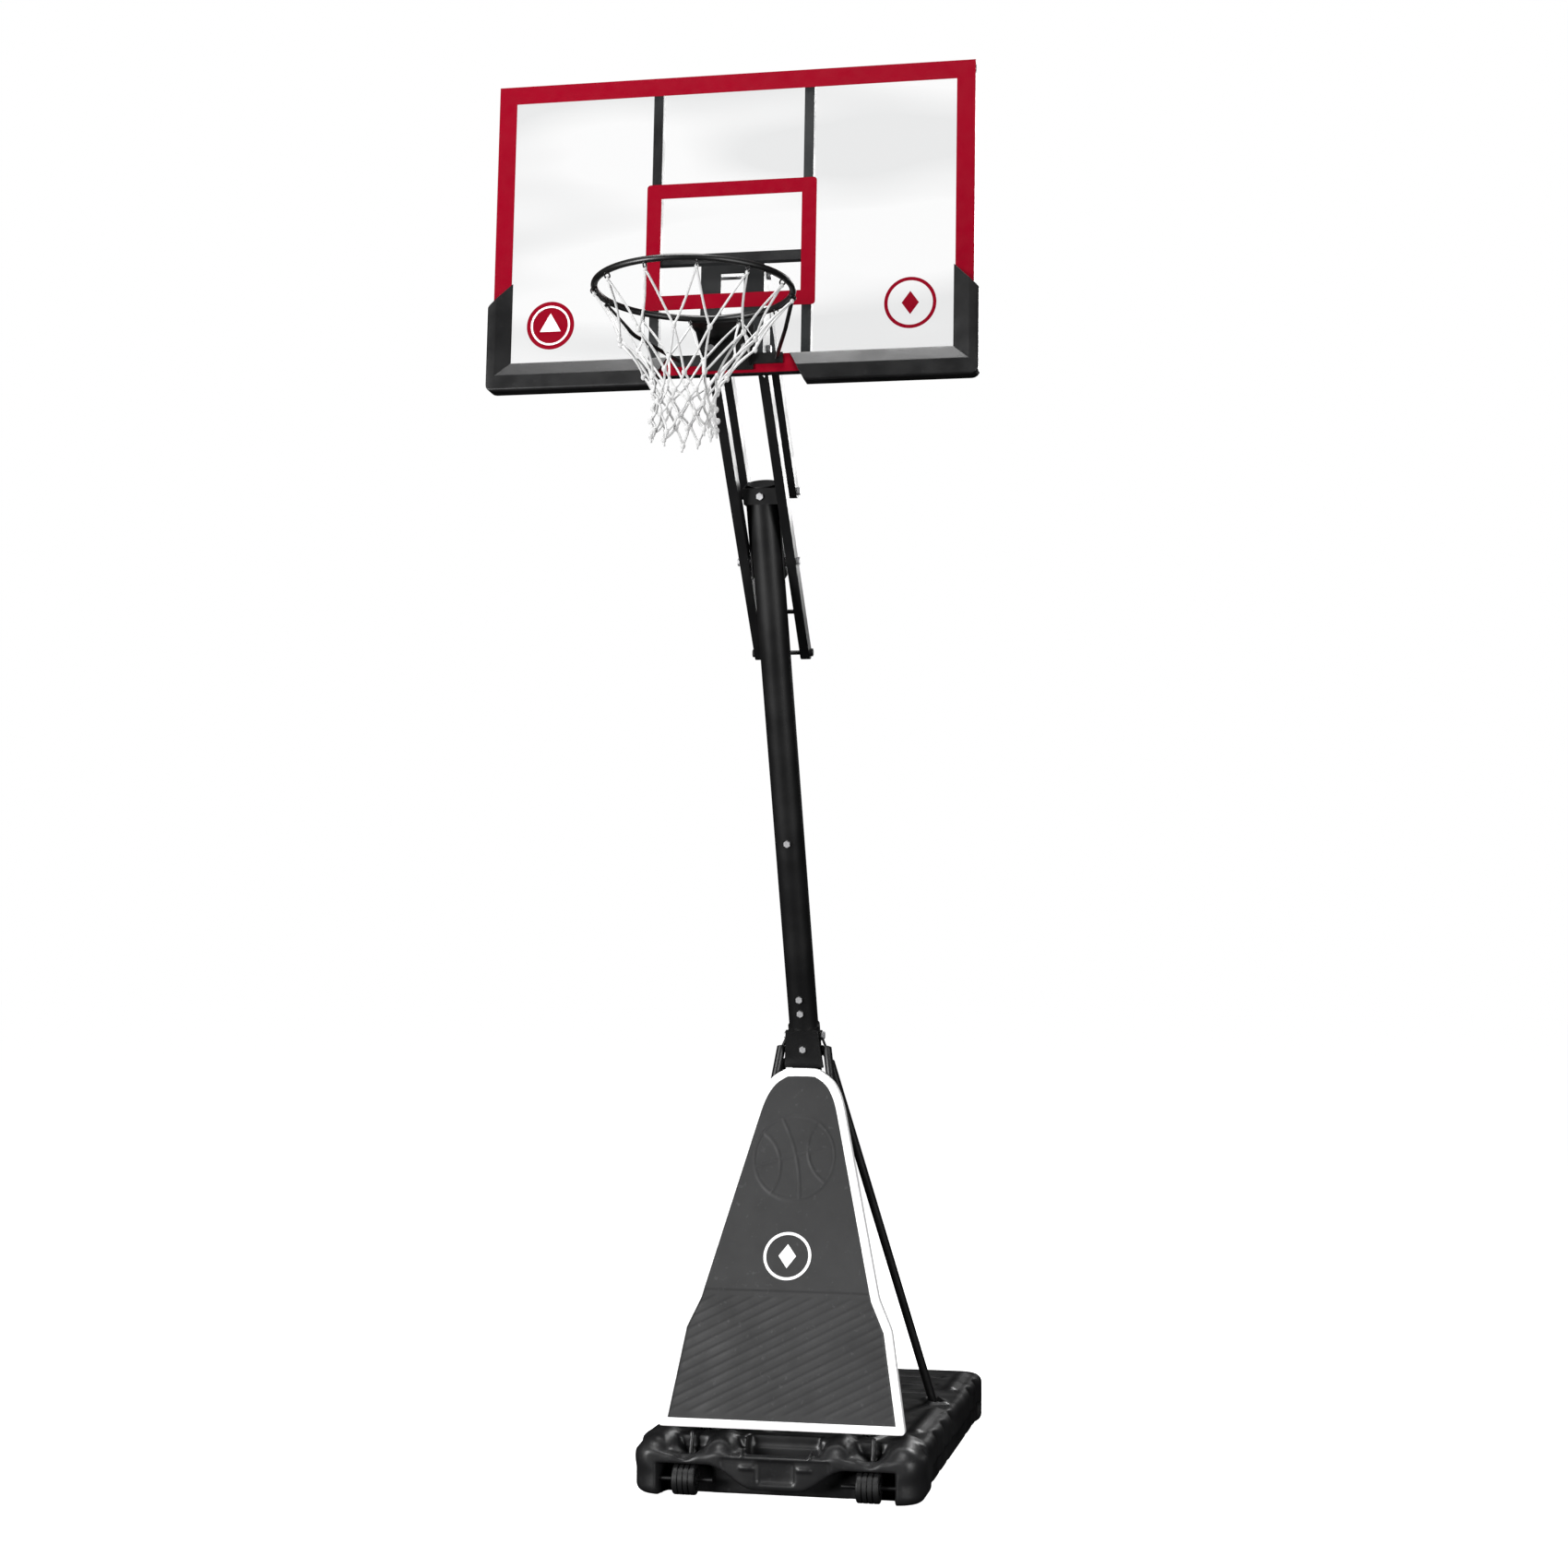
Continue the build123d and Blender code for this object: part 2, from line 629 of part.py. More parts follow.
# ------------------------------------------------------------------ height lock
def tail_point(distance, x=0, across=0):
    """A point along the arms' tail line from the low pivot, moved across it towards the back."""
    a = radians(ARM_ANGLE)
    y = LOW_PIVOT[0] + distance * sin(a) + across * cos(a)
    z = LOW_PIVOT[1] - distance * cos(a) + across * sin(a)
    return (x, y, z)


def lock_fin():
    """A quadrant plate on the pole's back, with an arc slot and notches for the lock pin."""
    plane = Plane(origin=(-FIN_T / 2, *LOW_PIVOT), x_dir=(0, 1, 0), z_dir=(1, 0, 0))
    start = ARM_ANGLE - 90
    wedge = [(0, 0)]
    for angle in (start - 16, start + LOCK_SWEEP / 2, start + LOCK_SWEEP + 14):
        wedge.append((2 * FIN_R * cos(radians(angle)), 2 * FIN_R * sin(radians(angle))))
    face = Circle(FIN_R) & make_face(Polyline(wedge, close=True))
    face -= SlotArc(CenterArc((0, 0), LOCK_R, start, LOCK_SWEEP), 2 * (BOLT_R + LOCK_GAP))
    for i in range(LOCK_SWEEP // LOCK_NOTCH_STEP + 1):
        face -= Rot(0, 0, start + i * LOCK_NOTCH_STEP) * Pos(LOCK_R + 4, 0) * Circle(BOLT_R + 1)
    fin = extrude(plane * face, FIN_T)
    return fin - rod(on_pole(POLE_LEN - 500), on_pole(POLE_LEN), POLE_R)


def lock_pin():
    """The cross pin between the arms that runs in the fin's slot."""
    reach = ARM_X - ARM_W / 2
    return rod(tail_point(LOCK_R, -reach), tail_point(LOCK_R, reach), BOLT_R)


def lock_block():
    """A yoke on the lock pin that straddles the fin's rim."""
    plane = Plane(origin=tail_point(LOCK_BLOCK[0]), x_dir=(1, 0, 0), z_dir=tail_direction())
    length = LOCK_BLOCK[1] - LOCK_BLOCK[0]
    block_face = RectangleRounded(2 * LOCK_BLOCK_HALF_T, 2 * LOCK_BLOCK_HALF_W, 3)
    yoke = extrude(plane * block_face, length)
    yoke -= extrude(plane * Rectangle(FIN_T + 2 * LOCK_GAP, 3 * LOCK_BLOCK_HALF_W), FIN_R + 3 - LOCK_BLOCK[0])
    yoke -= rod(tail_point(LOCK_R, -30), tail_point(LOCK_R, 30), BOLT_R)
    return yoke - rod(tail_point(FIN_R), tail_point(FIN_R + 60), LOCK_SCREW_R + FIT)


def tail_direction():
    """The direction of the arms' tail line, away from the low pivot."""
    return Vector(*tail_point(1)) - Vector(*tail_point(0))


def lock_knob():
    """A lobed clamp knob whose screw reaches in to the fin's rim."""
    screw = rod(tail_point(FIN_R + 2 * LOCK_GAP), tail_point(LOCK_BLOCK[1] + 8), LOCK_SCREW_R)
    plane = Plane(origin=tail_point(LOCK_BLOCK[1] + 1), z_dir=tail_direction())
    head = Circle(19)
    for i in range(6):
        head -= Rot(0, 0, i * 60) * Pos(22, 0) * Circle(6)
    return screw + extrude(plane * head, 14)


# ------------------------------------------------------------------ backboard
def ring_bolt_holes(front, back):
    """The cutter for the four ring bolts, between two depths."""
    holes = [rod((x, front, z), (x, back, z), RING_BOLT_R) for x, z in RING_BOLTS]
    return Compound(children=holes)


def backboard_sheet():
    """The clear acrylic sheet, drilled for the ring bolts."""
    sheet = block(-SHEET_HALF_W, SHEET_HALF_W, 0, SHEET_T, SHEET_BOTTOM, SHEET_TOP)
    return sheet - ring_bolt_holes(0, SHEET_T)


def printed_frame(half_w, bottom, top, bar, rounding):
    """A thin rectangular band on the sheet's front."""
    corners = [(-half_w, bottom), (half_w, bottom), (half_w, top), (-half_w, top)]
    outer = front_profile(corners, -PRINT_T, 0, rounding)
    inner = block(bar - half_w, half_w - bar, -2, 2, bottom + bar, top - bar)
    return outer - inner


def square_tube(start, end):
    """A square steel tube between two points of the board's own frame."""
    plane = Plane(origin=start, x_dir=(0, 1, 0), z_dir=Vector(*end) - Vector(*start))
    profile = Rectangle(TUBE, TUBE) - Rectangle(TUBE - 2 * TUBE_WALL, TUBE - 2 * TUBE_WALL)
    return extrude(plane * profile, (Vector(*end) - Vector(*start)).length)


def frame_tubes():
    """The welded frame behind the sheet, one tube per node."""
    y = SHEET_T + TUBE / 2
    half = TUBE / 2
    side_x = SHEET_HALF_W - half - 2
    top_z = SHEET_TOP - half - 2
    low_z = SHEET_BOTTOM + half
    up_x = UPRIGHT_X
    return {
        "frame_rail_top": ((-side_x - half, y, top_z), (side_x + half, y, top_z)),
        "frame_rail_bottom": ((-side_x - half, y, low_z), (side_x + half, y, low_z)),
        "frame_rail_left": ((-side_x, y, low_z + half), (-side_x, y, top_z - half)),
        "frame_rail_right": ((side_x, y, low_z + half), (side_x, y, top_z - half)),
        "frame_upright_left": ((-up_x, y, low_z + half), (-up_x, y, top_z - half)),
        "frame_upright_right": ((up_x, y, low_z + half), (up_x, y, top_z - half)),
        "frame_cross_bar": ((-up_x + half, y, CROSS_BAR_Z), (up_x - half, y, CROSS_BAR_Z)),
    }


def board_bracket():
    """A welded channel on the frame's back with two plates that hold the arm pivots."""
    y_low, z_low = to_board(*LOW_BOARD_PIVOT)
    y_high, z_high = to_board(*HIGH_BOARD_PIVOT)
    back = SHEET_T + TUBE
    web_x = BRACKET_PLATE_X + PLATE_T / 2
    web = block(-web_x, web_x, back, back + PLATE_T, SHEET_BOTTOM + 2, CROSS_BAR_Z + 14)
    web -= block(-30, 30, back - 1, back + PLATE_T + 1, -40, CROSS_BAR_Z - 34)
    outline = [(back, SHEET_BOTTOM + 2), (back + 26, SHEET_BOTTOM + 2), (y_low + 20, z_low - 18)]
    outline += [(y_low + 22, z_low + 12), (y_high + 22, z_high - 12), (y_high + 16, z_high + 20)]
    outline += [(back, CROSS_BAR_Z + 14)]
    bracket = web
    for side in SIDES.values():
        inner = side * BRACKET_PLATE_X - PLATE_T / 2
        bracket += side_profile(outline, inner, inner + PLATE_T)
    bracket -= ring_bolt_holes(back, back + PLATE_T)
    bracket -= rod((-100, y_low, z_low), (100, y_low, z_low), BOLT_R)
    return bracket - rod((-100, y_high, z_high), (100, y_high, z_high), BOLT_R)


def board_pivot_bolts():
    """The two bolts that the board hangs on, already in their place."""
    reach = BRACKET_PLATE_X + PLATE_T / 2
    return Compound(children=[cross_bolt(LOW_BOARD_PIVOT, reach), cross_bolt(HIGH_BOARD_PIVOT, reach)])


def pad(side):
    """A moulded corner pad: up the side and along the bottom, wrapped round the sheet's edge."""
    def mirrored(points):
        return [(side * x, z) for x, z in points]

    outer = [(PAD_HALF_W, PAD_BOTTOM), (PAD_HALF_W, PAD_SIDE_TOP - 62), (PAD_INNER_X, PAD_SIDE_TOP)]
    outer += [(PAD_INNER_X, PAD_INNER_Z), (PAD_GAP_HALF_W - 20, PAD_INNER_Z)]
    outer.append((PAD_GAP_HALF_W + 20, PAD_BOTTOM))
    back = SHEET_T + TUBE
    body = front_profile(mirrored(outer), -PAD_FRONT, back)
    front_face = body.faces().sort_by(Axis.Y)[0]
    body = chamfer(front_face.edges(), 9)
    return body - block(-SHEET_HALF_W, SHEET_HALF_W, -PRINT_T, back + 5, SHEET_BOTTOM, SHEET_TOP)


# ------------------------------------------------------------------ ring and net
def ring():
    """The round steel goal ring."""
    return Pos(0, -RING_REACH, 0) * Torus(RING_R, RING_ROD_R)


def ring_bracket():
    """The ring's mounting plate, its top shelf and two gussets."""
    plate = block(-66, 66, -6, -PRINT_T, -90, 26)
    plate += block(-142, 142, -6, -PRINT_T, -76, -48)
    shelf = block(-66, 66, -165, -6, -RING_ROD_R - 4, -RING_ROD_R)
    shelf -= Pos(0, -RING_REACH, 0) * Cylinder(RING_R - 2, 40)
    bracket = plate + shelf
    for side in SIDES.values():
        gusset = [(-6, -80), (-6, -RING_ROD_R - 4), (-120, -RING_ROD_R - 4)]
        x = side * 58
        bracket += side_profile(gusset, x - 2, x + 2)
    for turn in hook_turns():
        bracket -= Pos(0, -RING_REACH, 0) * turn * Pos(RING_R, 0, -RING_ROD_R - 5) * Box(22, 6, 26)
    return bracket - ring_bolt_holes(-8, 0)


def ring_bolts():
    """Four bolts through the ring's plate and the sheet."""
    bolts = []
    for x, z in RING_BOLTS:
        bolts.append(bolt_between((x, -6, z), (x, SHEET_T + TUBE + PLATE_T, z), RING_BOLT_R, 17, 6))
    return Compound(children=bolts)


def ring_brace(side):
    """A bent rod from the ring's side down to the foot of the plate."""
    points = [(side * 229, 60 - RING_REACH, -RING_ROD_R - 5), (side * 190, -215, -54)]
    points.append((side * 126, -7.5, -62))
    path = FilletPolyline(points, radius=90)
    start = Plane(origin=path @ 0, z_dir=path % 0)
    return sweep(start * Circle(5), path)


def hook_turns():
    """Where the net hooks sit round the ring."""
    return [Rot(0, 0, (i + 0.5) * 360 / HOOKS) for i in range(HOOKS)]


def net_hooks():
    """Small wire loops welded under the ring to hold the net."""
    loop = Pos(RING_R, 0, -RING_ROD_R - 5.2) * Rot(90, 0, 0) * Torus(7, 2)
    around = ring() + ring_brace(1) + ring_brace(-1)
    hooks = []
    for turn in hook_turns():
        hook = Pos(0, -RING_REACH, 0) * turn * loop - around
        hooks.append(hook.solids().sort_by(SortBy.VOLUME)[-1])
    return Compound(children=hooks)


def net():
    """The net as a thin open funnel that hangs from the hooks."""
    top = -RING_ROD_R - 10.5
    neck = -0.62 * NET_LEN
    outer = [(RING_R - 9, top), (0.66 * RING_R + 8, 0.55 * neck)]
    outer += [(NET_NECK_R, neck), (NET_NECK_R + 4, -NET_LEN)]
    inner = [(r - NET_WALL, z) for r, z in reversed(outer)]
    face = make_face(Polyline([(r, 0, z) for r, z in outer + inner], close=True))
    return Pos(0, -RING_REACH, 0) * revolve(face, Axis.Z)


# ------------------------------------------------------------------ build
def build():
    """Makes every node and writes it."""
    os.makedirs("parts", exist_ok=True)
    save("base_tank", base_tank())
    save("ballast_water", ballast_water())
    save("filler_cap", filler_cap())
    save("wheel_axles", wheel_axles())
    save("pole_foot_axle", pole_foot_axle())
    save("pole_lower", pole_lower())
    save("pole_middle", pole_section(LOW_JOINT_S, HIGH_JOINT_S, True))
    save("pole_upper", pole_upper())
    save("pole_top_cap", pole_top_cap())
    save("pole_bolts", pole_bolts())
    save("strut_collar", strut_collar())
    save("collar_bolts", collar_bolts())
    for name, (top, foot) in strut_axes().items():
        save(name, strut(top, foot))
    save("front_shield", front_shield())
    save("shield_trim", shield_trim())
    save("shield_clips", shield_clips())
    save("top_bracket", top_bracket())
    arm_reach = ARM_X + ARM_W / 2 + 0.3
    save("long_arm_pivot_bolt", cross_bolt(LOW_PIVOT, arm_reach))
    save("short_arm_pivot_bolt", cross_bolt(HIGH_PIVOT, arm_reach))
    save("arm_tail_rod", cross_bolt(TAIL_PIVOT, ARM_X + ARM_W / 2))
    save("pivot_spacers", pivot_spacers())
    save("lock_fin", lock_fin())
    save("lock_pin", lock_pin())
    save("lock_block", lock_block())
    save("lock_knob", lock_knob())
    for word, side in SIDES.items():
        save("wheel_" + word, wheel(side))
        save("long_arm_" + word, long_arm(side))
        save("short_arm_" + word, short_arm(side))
        save("pad_" + word, board_place(pad(side)))
        save("ring_brace_" + word, board_place(ring_brace(side)))
    for name, (start, end) in frame_tubes().items():
        save(name, board_place(square_tube(start, end)))
    border = printed_frame(SHEET_HALF_W, SHEET_BOTTOM, SHEET_TOP, BORDER_W, 0)
    target = printed_frame(TARGET_HALF_W, TARGET_BOTTOM, TARGET_TOP, TARGET_BAR, 9)
    save("backboard_sheet", board_place(backboard_sheet()))
    save("border_print", board_place(border))
    save("target_print", board_place(target))
    save("board_bracket", board_place(board_bracket()))
    save("board_pivot_bolts", board_pivot_bolts())
    save("ring", board_place(ring()))
    save("ring_bracket", board_place(ring_bracket()))
    save("ring_bolts", board_place(ring_bolts()))
    save("net_hooks", board_place(net_hooks()))
    save("net", board_place(net()))


build()
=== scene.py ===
import json
import math
import random

import bmesh
import bpy
import numpy as np
from mathutils import Matrix, Vector


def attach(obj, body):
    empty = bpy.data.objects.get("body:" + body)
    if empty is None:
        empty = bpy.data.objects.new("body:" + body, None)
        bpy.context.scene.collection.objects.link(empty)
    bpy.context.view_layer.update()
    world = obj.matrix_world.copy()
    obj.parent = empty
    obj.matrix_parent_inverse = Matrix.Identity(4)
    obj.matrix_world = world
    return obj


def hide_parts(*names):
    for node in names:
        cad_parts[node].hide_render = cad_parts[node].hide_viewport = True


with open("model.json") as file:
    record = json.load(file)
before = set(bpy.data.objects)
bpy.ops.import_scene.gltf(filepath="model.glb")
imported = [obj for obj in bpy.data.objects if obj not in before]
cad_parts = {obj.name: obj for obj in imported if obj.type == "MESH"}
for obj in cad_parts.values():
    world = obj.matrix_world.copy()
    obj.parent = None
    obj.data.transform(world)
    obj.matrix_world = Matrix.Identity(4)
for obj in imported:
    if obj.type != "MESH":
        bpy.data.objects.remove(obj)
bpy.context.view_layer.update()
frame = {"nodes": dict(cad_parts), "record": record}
nodes = frame["nodes"]

# ------------------------------------------------------------------ shared sizes, in metres
BOARD_TILT = math.radians(3)
BOARD_ORIGIN = Vector((0, -1.588, 3.040))
RING_REACH = 0.387
RING_R = 0.2366
NET_DRIFT = -0.020
HOOKS = 12
CORD_R = 0.0029
KNOT_R = 0.0066
HOOK_KNOT_R = 0.005


# ------------------------------------------------------------------ mesh helpers
def piece_from(name, verts, faces, body, material, smooth=True):
    """A mesh object from points and faces, riding on a body."""
    mesh = bpy.data.meshes.new(name)
    mesh.from_pydata([tuple(v) for v in verts], [], faces)
    mesh.update()
    return finish_piece(bpy.data.objects.new(name, mesh), body, material, smooth)


def finish_piece(obj, body, material, smooth=True):
    """Links a new object, cleans its normals, gives it its material and lets it ride."""
    if obj.name not in bpy.context.scene.collection.objects:
        bpy.context.scene.collection.objects.link(obj)
    bm = bmesh.new()
    bm.from_mesh(obj.data)
    bmesh.ops.recalc_face_normals(bm, faces=bm.faces)
    bm.to_mesh(obj.data)
    bm.free()
    for poly in obj.data.polygons:
        poly.use_smooth = smooth
    obj.data.materials.clear()
    obj.data.materials.append(material)
    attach(obj, body)
    return obj


def board_matrix():
    """From the board's own frame (y = 0 front face, z = 0 ring plane) to its place."""
    return Matrix.Translation(BOARD_ORIGIN) @ Matrix.Rotation(-BOARD_TILT, 4, "X")


def apply_modifiers(obj):
    """Replaces an object's mesh with its evaluated mesh."""
    bpy.context.view_layer.update()
    graph = bpy.context.evaluated_depsgraph_get()
    mesh = bpy.data.meshes.new_from_object(obj.evaluated_get(graph))
    obj.modifiers.clear()
    obj.data = mesh


# ------------------------------------------------------------------ material helpers
class Material:
    """A node material with a Principled shader and shortcuts for what feeds it."""

    def __init__(self, name, color, roughness, **values):
        self.mat = bpy.data.materials.new(name)
        self.mat.use_nodes = True
        self.nodes = self.mat.node_tree.nodes
        self.links = self.mat.node_tree.links
        self.bsdf = self.nodes["Principled BSDF"]
        self.color = color
        self.roughness = roughness
        self.bsdf.inputs["Base Color"].default_value = (*color, 1)
        self.bsdf.inputs["Roughness"].default_value = roughness
        for key, value in values.items():
            self.bsdf.inputs[key.replace("_", " ")].default_value = value
        self.coords = self.nodes.new("ShaderNodeTexCoord").outputs["Object"]
        self.normal = None

    def noise(self, scale, detail=3.0, stretch=(1, 1, 1), tilt=0.0):
        """A noise value over the surface, stretched along an axis where its factor is small."""
        mapping = self.nodes.new("ShaderNodeMapping")
        mapping.inputs["Scale"].default_value = stretch
        mapping.inputs["Rotation"].default_value = (0, math.radians(tilt), 0)
        self.links.new(self.coords, mapping.inputs["Vector"])
        tex = self.nodes.new("ShaderNodeTexNoise")
        tex.inputs["Scale"].default_value = scale
        tex.inputs["Detail"].default_value = detail
        self.links.new(mapping.outputs["Vector"], tex.inputs["Vector"])
        return tex.outputs["Fac"]

    def voronoi(self, scale):
        """A cell pattern's distance over the surface."""
        tex = self.nodes.new("ShaderNodeTexVoronoi")
        tex.inputs["Scale"].default_value = scale
        self.links.new(self.coords, tex.inputs["Vector"])
        return tex.outputs["Distance"]

    def remap(self, value, from_low, from_high, to_low, to_high):
        """A value mapped from one range to another, and clamped."""
        node = self.nodes.new("ShaderNodeMapRange")
        node.inputs["From Min"].default_value = from_low
        node.inputs["From Max"].default_value = from_high
        node.inputs["To Min"].default_value = to_low
        node.inputs["To Max"].default_value = to_high
        self.links.new(value, node.inputs["Value"])
        return node.outputs["Result"]

    def mix_color(self, factor, other):
        """Mixes the base colour towards another one by a value."""
        mix = self.nodes.new("ShaderNodeMix")
        mix.data_type = "RGBA"
        self.links.new(factor, mix.inputs[0])
        socket = self.bsdf.inputs["Base Color"]
        if socket.is_linked:
            self.links.new(socket.links[0].from_socket, mix.inputs[6])
        else:
            mix.inputs[6].default_value = (*self.color, 1)
        mix.inputs[7].default_value = (*other, 1)
        self.links.new(mix.outputs[2], socket)

    def vary_roughness(self, value, low, high):
        """Lets the roughness run from low to high with a value."""
        self.links.new(self.remap(value, 0.3, 0.7, low, high), self.bsdf.inputs["Roughness"])

    def bump(self, height, strength, distance):
        """Adds a bump on top of the ones before."""
        node = self.nodes.new("ShaderNodeBump")
        node.inputs["Strength"].default_value = strength
        node.inputs["Distance"].default_value = distance
        self.links.new(height, node.inputs["Height"])
        if self.normal is not None:
            self.links.new(self.normal, node.inputs["Normal"])
        self.normal = node.outputs["Normal"]
        self.links.new(self.normal, self.bsdf.inputs["Normal"])


# ------------------------------------------------------------------ materials
def powder_coat(name, color, roughness):
    """Black powder coat: fine orange peel, faint dust and a few dull patches."""
    m = Material(name, color, roughness, Specular_IOR_Level=0.45)
    m.vary_roughness(m.noise(9, 4), roughness - 0.07, roughness + 0.1)
    m.mix_color(m.remap(m.noise(5, 6), 0.5, 0.8, 0, 0.5), tuple(c * 2.2 for c in color))
    m.bump(m.noise(900, 2), 0.18, 0.0003)
    m.bump(m.noise(120, 2), 0.1, 0.0006)
    return m.mat


def moulded_plastic(name, color, roughness, grain=520, depth=0.0004):
    """Moulded plastic: a pebbled grain, slow colour drift and light rub marks."""
    m = Material(name, color, roughness, Specular_IOR_Level=0.4)
    m.vary_roughness(m.noise(14, 5), roughness - 0.08, roughness + 0.1)
    m.mix_color(m.remap(m.noise(3.2, 5), 0.45, 0.75, 0, 0.6), tuple(c * 1.7 for c in color))
    rubs = m.remap(m.noise(60, 8, (1, 0.12, 1)), 0.63, 0.76, 0, 0.35)
    m.mix_color(rubs, tuple(min(1, c * 4) for c in color))
    m.bump(m.voronoi(grain), 0.3, depth)
    m.bump(m.noise(38, 3), 0.12, 0.002)
    return m.mat


def zinc(name):
    """Zinc-plated steel: brushed, with a faint spangle."""
    m = Material(name, (0.7, 0.7, 0.71), 0.45, Metallic=0.55)
    m.vary_roughness(m.noise(160, 4), 0.38, 0.55)
    m.mix_color(m.remap(m.voronoi(260), 0.2, 0.7, 0, 0.5), (0.52, 0.52, 0.54))
    m.bump(m.noise(700, 2, (1, 1, 0.1)), 0.12, 0.0002)
    return m.mat


def red_print(name):
    """Screen-printed red ink with a slight unevenness under a gloss coat."""
    m = Material(name, (0.2, 0.0004, 0.009), 0.42, Specular_IOR_Level=0.07)
    m.mix_color(m.remap(m.noise(7, 2), 0.35, 0.7, 0, 0.5), (0.18, 0.0004, 0.008))
    m.vary_roughness(m.noise(40, 3), 0.36, 0.5)
    m.bump(m.noise(420, 2), 0.05, 0.0002)
    return m.mat


def white_print(name):
    """White paint with faint scuffs."""
    m = Material(name, (0.97, 0.97, 0.97), 0.42)
    m.mix_color(m.remap(m.noise(30, 7, (1, 1, 0.3)), 0.55, 0.8, 0, 0.5), (0.86, 0.86, 0.85))
    m.bump(m.noise(500, 2), 0.08, 0.0002)
    return m.mat


def acrylic(name):
    """Clear sheet whose opacity carries faint slanted streaks of painted reflection."""
    m = Material(name, (0.12, 0.13, 0.135), 0.06, IOR=1.49, Specular_IOR_Level=0.25)
    m.mat.surface_render_method = "BLENDED"
    # Slanted bands of higher opacity: painted reflections of the studio lights, laid into the sheet.
    streaks = m.noise(1.5, 1, (0.8, 1, 3.0), 14)
    painted_reflection = m.remap(streaks, 0.42, 0.58, 0.02, 0.12)
    m.links.new(painted_reflection, m.bsdf.inputs["Alpha"])
    m.vary_roughness(m.noise(26, 5), 0.04, 0.09)
    return m.mat


def cord_fibre(name):
    """Braided white cord."""
    m = Material(name, (0.6, 0.6, 0.6), 0.8, Sheen_Weight=0.1)
    m.mix_color(m.remap(m.noise(70, 6), 0.45, 0.8, 0, 0.6), (0.42, 0.42, 0.41))
    m.bump(m.noise(1400, 3, (1, 1, 0.35)), 0.5, 0.0006)
    return m.mat


STEEL = powder_coat("black_steel", (0.006, 0.006, 0.0063), 0.4)
RING_STEEL = powder_coat("ring_steel", (0.006, 0.006, 0.006), 0.36)
TANK = moulded_plastic("tank_plastic", (0.012, 0.012, 0.0125), 0.36)
SHIELD = moulded_plastic("shield_plastic", (0.02, 0.02, 0.0205), 0.6, 620, 0.0003)
PAD = moulded_plastic("pad_plastic", (0.008, 0.008, 0.0083), 0.36, 700, 0.00025)
SMALL = moulded_plastic("small_plastic", (0.01, 0.01, 0.0105), 0.45)
WHEEL = moulded_plastic("wheel_plastic", (0.006, 0.006, 0.0063), 0.5)
BOLT = zinc("bolt_steel")
RED = red_print("red_print")
WHITE = white_print("white_trim")
CLEAR = acrylic("clear_acrylic")
CORD = cord_fibre("net_cord")

SLOT_MATERIALS = {
    "black_steel": STEEL,
    "ring_steel": RING_STEEL,
    "tank_plastic": TANK,
    "shield_plastic": SHIELD,
    "pad_plastic": PAD,
    "small_plastic": SMALL,
    "wheel_plastic": WHEEL,
    "bolt_steel": BOLT,
    "red_print": RED,
    "white_trim": WHITE,
    "clear_acrylic": CLEAR,
    "net_cord": CORD,
    "ballast": CLEAR,
}
PAINTED_RODS = ("wheel_axles", "arm_tail_rod", "lock_pin")


def paint_cad_nodes():
    """Gives every CAD node the material of its slot; the painted rods and axles are black."""
    for row in frame["record"]["subparts"]:
        obj = nodes[row["node"]]
        obj.data.materials.clear()
        painted = row["node"] in PAINTED_RODS
        obj.data.materials.append(STEEL if painted else SLOT_MATERIALS[row["material_slot"]])


# ------------------------------------------------------------------ net
def net_profile():
    """The net's rings of knots from the hooks down: (radius, drop, how far the ring is turned)."""
    rings = [(RING_R - 0.001, 0.021, 0.0)]
    rings.append((0.168, 0.130, 0.5))
    rings.append((0.094, 0.218, 0.0))
    rings.append((0.080, 0.252, 0.5))
    rings.append((0.076, 0.284, 0.0))
    rings.append((0.078, 0.316, 0.5))
    rings.append((0.082, 0.350, 0.0))
    return rings


def tube_along(points, radius, sides=8):
    """Vertices and faces of a round tube along a polyline."""
    verts = []
    faces = []
    normal = None
    for i, p in enumerate(points):
        before = points[max(i - 1, 0)]
        after = points[min(i + 1, len(points) - 1)]
        along = (after - before).normalized()
        if normal is None:
            normal = along.orthogonal().normalized()
        normal = (normal - along * normal.dot(along)).normalized()
        across = along.cross(normal)
        for k in range(sides):
            a = 2 * math.pi * k / sides
            verts.append(p + (normal * math.cos(a) + across * math.sin(a)) * radius)
        if i:
            for k in range(sides):
                n = (k + 1) % sides
                base = (i - 1) * sides
                faces.append((base + k, base + n, base + sides + n, base + sides + k))
    faces.append(tuple(range(sides))[::-1])
    last = (len(points) - 1) * sides
    faces.append(tuple(range(last, last + sides)))
    return verts, faces


def ball(centre, radius, squash=1.0, rings=6, sides=10):
    """Vertices and faces of a small round knot."""
    verts = [centre + Vector((0, 0, radius * squash))]
    faces = []
    for i in range(1, rings):
        t = math.pi * i / rings
        for k in range(sides):
            a = 2 * math.pi * k / sides
            side = radius * math.sin(t)
            up = radius * squash * math.cos(t)
            verts.append(centre + Vector((side * math.cos(a), side * math.sin(a), up)))
    verts.append(centre - Vector((0, 0, radius * squash)))
    for k in range(sides):
        n = (k + 1) % sides
        faces.append((0, 1 + k, 1 + n))
        for i in range(rings - 2):
            row = 1 + i * sides
            faces.append((row + k, row + sides + k, row + sides + n, row + n))
        faces.append((len(verts) - 1, 1 + (rings - 2) * sides + n, 1 + (rings - 2) * sides + k))
    return verts, faces


def add_part(verts, faces, part):
    """Appends one set of vertices and faces to another."""
    base = len(verts)
    verts.extend(part[0])
    faces.extend(tuple(i + base for i in f) for f in part[1])


